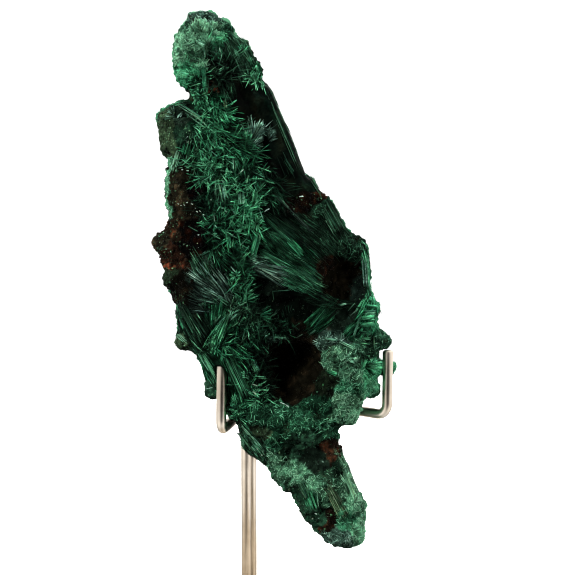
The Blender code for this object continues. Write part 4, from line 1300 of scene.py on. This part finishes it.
# painted shade and light: darker in the crevices between lumps and lighter on their tops, with a random tone on top
lump_shade_and_tone = np.exp(1.4 * (0.55 - 1.25 * c1 * c1) + 1.2 * (0.55 - 1.25 * c2 * c2) + 0.9 * noise(q, 1.3 * MM, 72) + 0.6 * noise(q, 2.8 * MM, 73))
col = jitter(t * (lump_shade_and_tone * 1.2)[:, None], 0.60)
r_, d_, l_, w_, c_ = (x[ok] for x in (root, d, length, width, col))
crystals("fine_tufts", r_, d_, l_, w_, c_, "needle", np.full(len(r_), 0.36), NEEDLE_MAT)

# ------------------------------------------------------------------ velvet
p, n = scattered(33500, (2,))
u, v, back, habit, tone, way = described(p, n)
pick = np.flatnonzero(habit == 2)
note(f"{len(pick)} places for velvet")
q, m, t, w = p[pick], n[pick], tone[pick], way[pick]
d = tangent_way(m, w, 1.0)
lift = rng.uniform(0.0, 0.8, len(q))
d = unit(d * np.cos(lift)[:, None] + m * np.sin(lift)[:, None])
curl = rng.random(len(q)) < 0.22
length = np.where(curl, rng.uniform(0.8, 2.0, len(q)), rng.uniform(0.45, 1.1, len(q))) * MM
width = np.where(curl, rng.uniform(0.12, 0.19, len(q)), rng.uniform(0.10, 0.17, len(q))) * MM
root = q - d * (length * 0.3)[:, None] + m * np.where(curl, 0.12 * MM, 0.0)[:, None]
length, ok = kept_in(root, d, length, 0.00035)
ok &= free(root, d, length, m, 0.9)
c0, _own = cells(q, 4.6 * MM, 3)
c1, own1 = cells(q, 2.3 * MM, 5)
c2, own2 = cells(q, 1.05 * MM, 9)
b0, b1, b2 = (0.55 - 1.25 * c * c for c in (c0, c1, c2))
# painted shade and light: darker in the crevices between lumps and lighter on their tops, with a random tone for each
# lump
lump_shade_and_tone = np.exp(0.8 * b0 + 1.4 * b1 + 1.4 * b2 + 0.5 * (own2 - 0.5) + 0.4 * (own1 - 0.5))
col = t * (lump_shade_and_tone * np.where(curl, 3.4, 1.25))[:, None]
col = np.where(curl[:, None], 0.8 * col + 0.2 * col[:, 1:2] * np.array((0.42, 1.0, 0.66)), col)
col = jitter(col, 0.75)
r_, d_, l_, w_, c_ = (x[ok] for x in (root, d, length, width, col))
crystals("velvet_crust", r_, d_, l_, w_, c_, "fibre", np.full(len(r_), 0.5), VELVET_MAT)

# ------------------------------------------------------------------ matrix grains
p, n = scattered(14500, (3, 3, 4))
u, v, back, habit, tone, way = described(p, n)
pick = np.flatnonzero((habit == 3) | ((habit == 4) & (rng.random(len(habit)) < 0.35)))
q, m, t, w = p[pick], n[pick], tone[pick], way[pick]
d = unit(rng.normal(0, 1, (len(q), 3)) + m * 0.5)
length = np.exp(rng.normal(-1.25, 0.55, len(q))).clip(0.10, 1.2) * MM
width = length * rng.uniform(0.15, 0.5, len(q))
root = q - d * (length * 0.5)[:, None]
length, ok = kept_in(root, d, length, 0.0001)
# grains in the hollows are dimmer and never glint: painted shade
dark = habit[pick] == 4
chance = rng.random(len(q))
red = ramp(t[:, 0] / t[:, 1], 0.6, 1.6)
glow = ramp(noise(q, 1.7 * MM, 45) + 0.5 * noise(q, 0.7 * MM, 46), 0.05, 0.75) * (0.25 + 0.75 * red)
glow = glow * np.where(dark, 0.5, 1.0)
col = t * ((0.30 + 1.4 * glow) * rng.uniform(0.2, 1.6, len(q)))[:, None] * (1 + (glow * red)[:, None] * np.array((0.8, -0.05, -0.3)))
leafy = ramp(noise(q, 1.8 * MM, 81) + 0.35 * noise(q, 0.8 * MM, 83), 0.0, 0.45)
# Green grains are likelier near the outline: partly the rim's own green grains and partly painted light on the lit rim.
edge = 1 - ramp(-rim_distance(q)[0], 0.0010, 0.0030)
greenish = np.array((0.030, 0.070, 0.038)) * np.exp(rng.normal(-0.5, 0.8, (len(q), 1)))
green = chance < (0.25 + 0.30 * (red < 0.5)) * leafy + 0.35 * edge
col = np.where(green[:, None], greenish * np.where(dark, 0.25, 1.0)[:, None], col)
glint = np.array((0.22, 0.36, 0.26)) * rng.uniform(0.2, 1.3, (len(q), 1))
sparkly = ramp(noise(q, 2.2 * MM, 82), 0.25, 0.6)
col = np.where(((chance > 1 - 0.06 * sparkly) & ~dark)[:, None], glint, col)
col = jitter(col, 0.60, 0.15)
matt = np.where(chance > 0.9, 0.12, 0.45)
r_, d_, l_, w_, c_, m_ = (x[ok] for x in (root, d, length, width, col, matt))
crystals("matrix_grains", r_, d_, l_, w_, c_, "grain", m_, GRAIN_MAT)

# ------------------------------------------------------------------ metal
def metal_material(name, colour, rough, kind):
    mat = bpy.data.materials.new(name)
    mat.use_nodes = True
    nt = mat.node_tree
    shader = nt.nodes["Principled BSDF"]
    shader.inputs["Metallic"].default_value = 1.0
    coord = nt.nodes.new("ShaderNodeTexCoord")
    sep = nt.nodes.new("ShaderNodeSeparateXYZ")
    nt.links.new(coord.outputs["Object"], sep.inputs[0])
    cloud = nt.nodes.new("ShaderNodeTexNoise")
    cloud.inputs["Scale"].default_value = 160.0
    cloud.inputs["Detail"].default_value = 5.0
    nt.links.new(coord.outputs["Object"], cloud.inputs["Vector"])
    lines = nt.nodes.new("ShaderNodeTexNoise")
    lines.inputs["Detail"].default_value = 2.0
    if kind == "turned":
        # fine rings about the foot's axis
        comb = nt.nodes.new("ShaderNodeCombineXYZ")
        lx = nt.nodes.new("ShaderNodeVectorMath")
        lx.operation = "MULTIPLY"
        lx.inputs[1].default_value = (1.0, 1.0, 0.0)
        nt.links.new(coord.outputs["Object"], lx.inputs[0])
        ln = nt.nodes.new("ShaderNodeVectorMath")
        ln.operation = "LENGTH"
        nt.links.new(lx.outputs["Vector"], ln.inputs[0])
        nt.links.new(ln.outputs["Value"], comb.inputs["X"])
        nt.links.new(sep.outputs["Z"], comb.inputs["Y"])
        lines.inputs["Scale"].default_value = 3800.0
        nt.links.new(comb.outputs["Vector"], lines.inputs["Vector"])
    else:
        # drawn wire: marks much longer than they are wide, along the rod
        flat = nt.nodes.new("ShaderNodeMapping")
        flat.inputs["Scale"].default_value = (1.0, 1.0, 0.06)
        nt.links.new(coord.outputs["Object"], flat.inputs["Vector"])
        lines.inputs["Scale"].default_value = 5200.0
        nt.links.new(flat.outputs["Vector"], lines.inputs["Vector"])
    mix = nt.nodes.new("ShaderNodeMix")
    mix.data_type = "RGBA"
    mix.inputs["A"].default_value = (*colour, 1.0)
    mix.inputs["B"].default_value = (colour[0] * 0.80, colour[1] * 0.76, colour[2] * 0.70, 1.0)
    fac = nt.nodes.new("ShaderNodeMapRange")
    fac.inputs["From Min"].default_value = 0.45
    fac.inputs["From Max"].default_value = 0.75
    nt.links.new(cloud.outputs["Fac"], fac.inputs["Value"])
    nt.links.new(fac.outputs["Result"], mix.inputs["Factor"])
    nt.links.new(mix.outputs["Result"], shader.inputs["Base Color"])
    r = nt.nodes.new("ShaderNodeMapRange")
    r.inputs["To Min"].default_value = rough - 0.05
    r.inputs["To Max"].default_value = rough + 0.09
    nt.links.new(lines.outputs["Fac"], r.inputs["Value"])
    nt.links.new(r.outputs["Result"], shader.inputs["Roughness"])
    bump = nt.nodes.new("ShaderNodeBump")
    bump.inputs["Strength"].default_value = 0.35
    bump.inputs["Distance"].default_value = 0.000004
    nt.links.new(lines.outputs["Fac"], bump.inputs["Height"])
    nt.links.new(bump.outputs["Normal"], shader.inputs["Normal"])
    return mat


ROD_MAT = metal_material("champagne_nickel_rod", (0.84, 0.765, 0.665), 0.33, "drawn")
FOOT_MAT = metal_material("champagne_nickel_foot", (0.82, 0.75, 0.65), 0.32, "turned")
for name in ("left_claw_rod", "right_claw_rod", "back_rest_rod", "stand_base"):
    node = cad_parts[name]
    node.data.materials.clear()
    node.data.materials.append(FOOT_MAT if name == "stand_base" else ROD_MAT)
    weld = node.modifiers.new("weld", "WELD")
    weld.merge_threshold = 0.000001
    node.data.polygons.foreach_set("use_smooth", np.ones(len(node.data.polygons), bool))
    note(f"{name}: {len(node.data.vertices)} points, {len(node.data.polygons)} faces")

# ------------------------------------------------------------------ floor, lights, camera
bpy.ops.mesh.primitive_circle_add(vertices=128, radius=0.42, fill_type="NGON", location=(0, 0, 0))
floor = bpy.context.active_object
floor.name = "floor"
floor_mat = bpy.data.materials.new("pale_floor")
floor_mat.use_nodes = True
fs = floor_mat.node_tree.nodes["Principled BSDF"]
fs.inputs["Base Color"].default_value = (0.93, 0.93, 0.925, 1)
fs.inputs["Roughness"].default_value = 0.9
fs.inputs["Specular IOR Level"].default_value = 0.1
floor.data.materials.append(floor_mat)
floor.visible_glossy = False
floor.visible_diffuse = False
floor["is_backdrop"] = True

world = bpy.data.worlds.new("studio")
bpy.context.scene.world = world
world.use_nodes = True
wt = world.node_tree
wt.nodes.clear()
out = wt.nodes.new("ShaderNodeOutputWorld")
coord = wt.nodes.new("ShaderNodeTexCoord")


def facing(direction, low, high):
    """0 to 1 as a direction of the studio nears the given one."""
    dot = wt.nodes.new("ShaderNodeVectorMath")
    dot.operation = "DOT_PRODUCT"
    dot.inputs[1].default_value = Vector(direction).normalized()
    wt.links.new(coord.outputs["Generated"], dot.inputs[0])
    span = wt.nodes.new("ShaderNodeMapRange")
    span.interpolation_type = "SMOOTHSTEP"
    span.inputs["From Min"].default_value = low
    span.inputs["From Max"].default_value = high
    wt.links.new(dot.outputs["Value"], span.inputs["Value"])
    return span.outputs["Result"]


def plus(a, b, gain):
    """a + b * gain as world nodes; a may be a number."""
    node = wt.nodes.new("ShaderNodeMath")
    node.operation = "MULTIPLY_ADD"
    wt.links.new(b, node.inputs[0])
    node.inputs[1].default_value = gain
    if isinstance(a, float):
        node.inputs[2].default_value = a
    else:
        wt.links.new(a, node.inputs[2])
    return node.outputs["Value"]


def background(strength, colour):
    node = wt.nodes.new("ShaderNodeBackground")
    node.inputs["Color"].default_value = (*colour, 1)
    if isinstance(strength, float):
        node.inputs["Strength"].default_value = strength
    else:
        wt.links.new(strength, node.inputs["Strength"])
    return node.outputs["Background"]


tent = plus(0.08, facing((-1, -0.25, 0.1), 0.30, 0.80), 0.66)
tent = plus(tent, facing((1, -0.2, 0.1), 0.30, 0.80), 0.78)
tent = plus(tent, facing((0, 0.4, 1), 0.30, 0.95), 0.5)
tent = plus(tent, facing((0, 1, 0.2), 0.20, 0.90), 0.70)
tent = plus(tent, facing((0, -0.35, -1), 0.30, 0.90), 0.60)
cut = plus(1.0, facing((0.22, -1, 0.0), 0.70, 0.93), -0.94)
mul = wt.nodes.new("ShaderNodeMath")
mul.operation = "MULTIPLY"
wt.links.new(tent, mul.inputs[0])
wt.links.new(cut, mul.inputs[1])
mirrored = background(mul.outputs["Value"], (1.0, 0.985, 0.96))
ambient = background(0.015, (1.0, 1.0, 1.0))
white = background(1.0, (1.0, 1.0, 1.0))
path = wt.nodes.new("ShaderNodeLightPath")
first = wt.nodes.new("ShaderNodeMixShader")
wt.links.new(path.outputs["Is Glossy Ray"], first.inputs["Fac"])
wt.links.new(ambient, first.inputs[1])
wt.links.new(mirrored, first.inputs[2])
second = wt.nodes.new("ShaderNodeMixShader")
wt.links.new(path.outputs["Is Camera Ray"], second.inputs["Fac"])
wt.links.new(first.outputs["Shader"], second.inputs[1])
wt.links.new(white, second.inputs[2])
wt.links.new(second.outputs["Shader"], out.inputs["Surface"])


def softbox(name, place, aim, size, power, colour=(1, 1, 1), shown=False):
    data = bpy.data.lights.new(name, "AREA")
    data.shape = "RECTANGLE"
    data.size, data.size_y = size
    data.energy = power
    data.color = colour
    obj = bpy.data.objects.new(name, data)
    obj.location = place
    obj.rotation_euler = (Vector(aim) - Vector(place)).to_track_quat("-Z", "Y").to_euler()
    obj.visible_camera = False
    obj.visible_glossy = shown
    bpy.context.scene.collection.objects.link(obj)
    return obj


MID = (0.005, -0.005, 0.09)
softbox("key_left", (-0.46, -0.40, 0.42), MID, (0.14, 0.20), 10.0, (1.0, 0.985, 0.96))
softbox("side_right", (0.52, -0.30, 0.26), MID, (0.14, 0.24), 4.5, (1.0, 0.985, 0.96))
softbox("top", (0.0, 0.02, 0.75), (0, 0, 0), (0.35, 0.35), 8.0)
softbox("back_left", (-0.38, 0.48, 0.34), MID, (0.25, 0.30), 2.6)
softbox("back_right", (0.38, 0.48, 0.30), MID, (0.25, 0.30), 2.0)

camera = bpy.data.cameras.new("camera")
camera.sensor_width = 36.0
camera.lens = 36.0 * FOCAL / UNITS
camera.clip_start = 0.02
camera.clip_end = 20.0
cam = bpy.data.objects.new("camera", camera)
cam.location = EYE
cam.rotation_euler = (math.pi / 2 - EYE_PITCH, 0, 0)
bpy.context.scene.collection.objects.link(cam)
bpy.context.scene.camera = cam

scene = bpy.context.scene
scene.cycles.use_denoising = True
scene.cycles.diffuse_bounces = 1
scene.cycles.filter_width = 1.2
scene.view_settings.view_transform = "Standard"
scene.view_settings.look = "None"
scene.view_settings.exposure = 0.34
scene.view_settings.gamma = 0.87

bpy.context.view_layer.update()
VISUAL_BOX = [list(c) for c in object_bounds()]
note(f"cad {CAD_BOX} visual {VISUAL_BOX}")
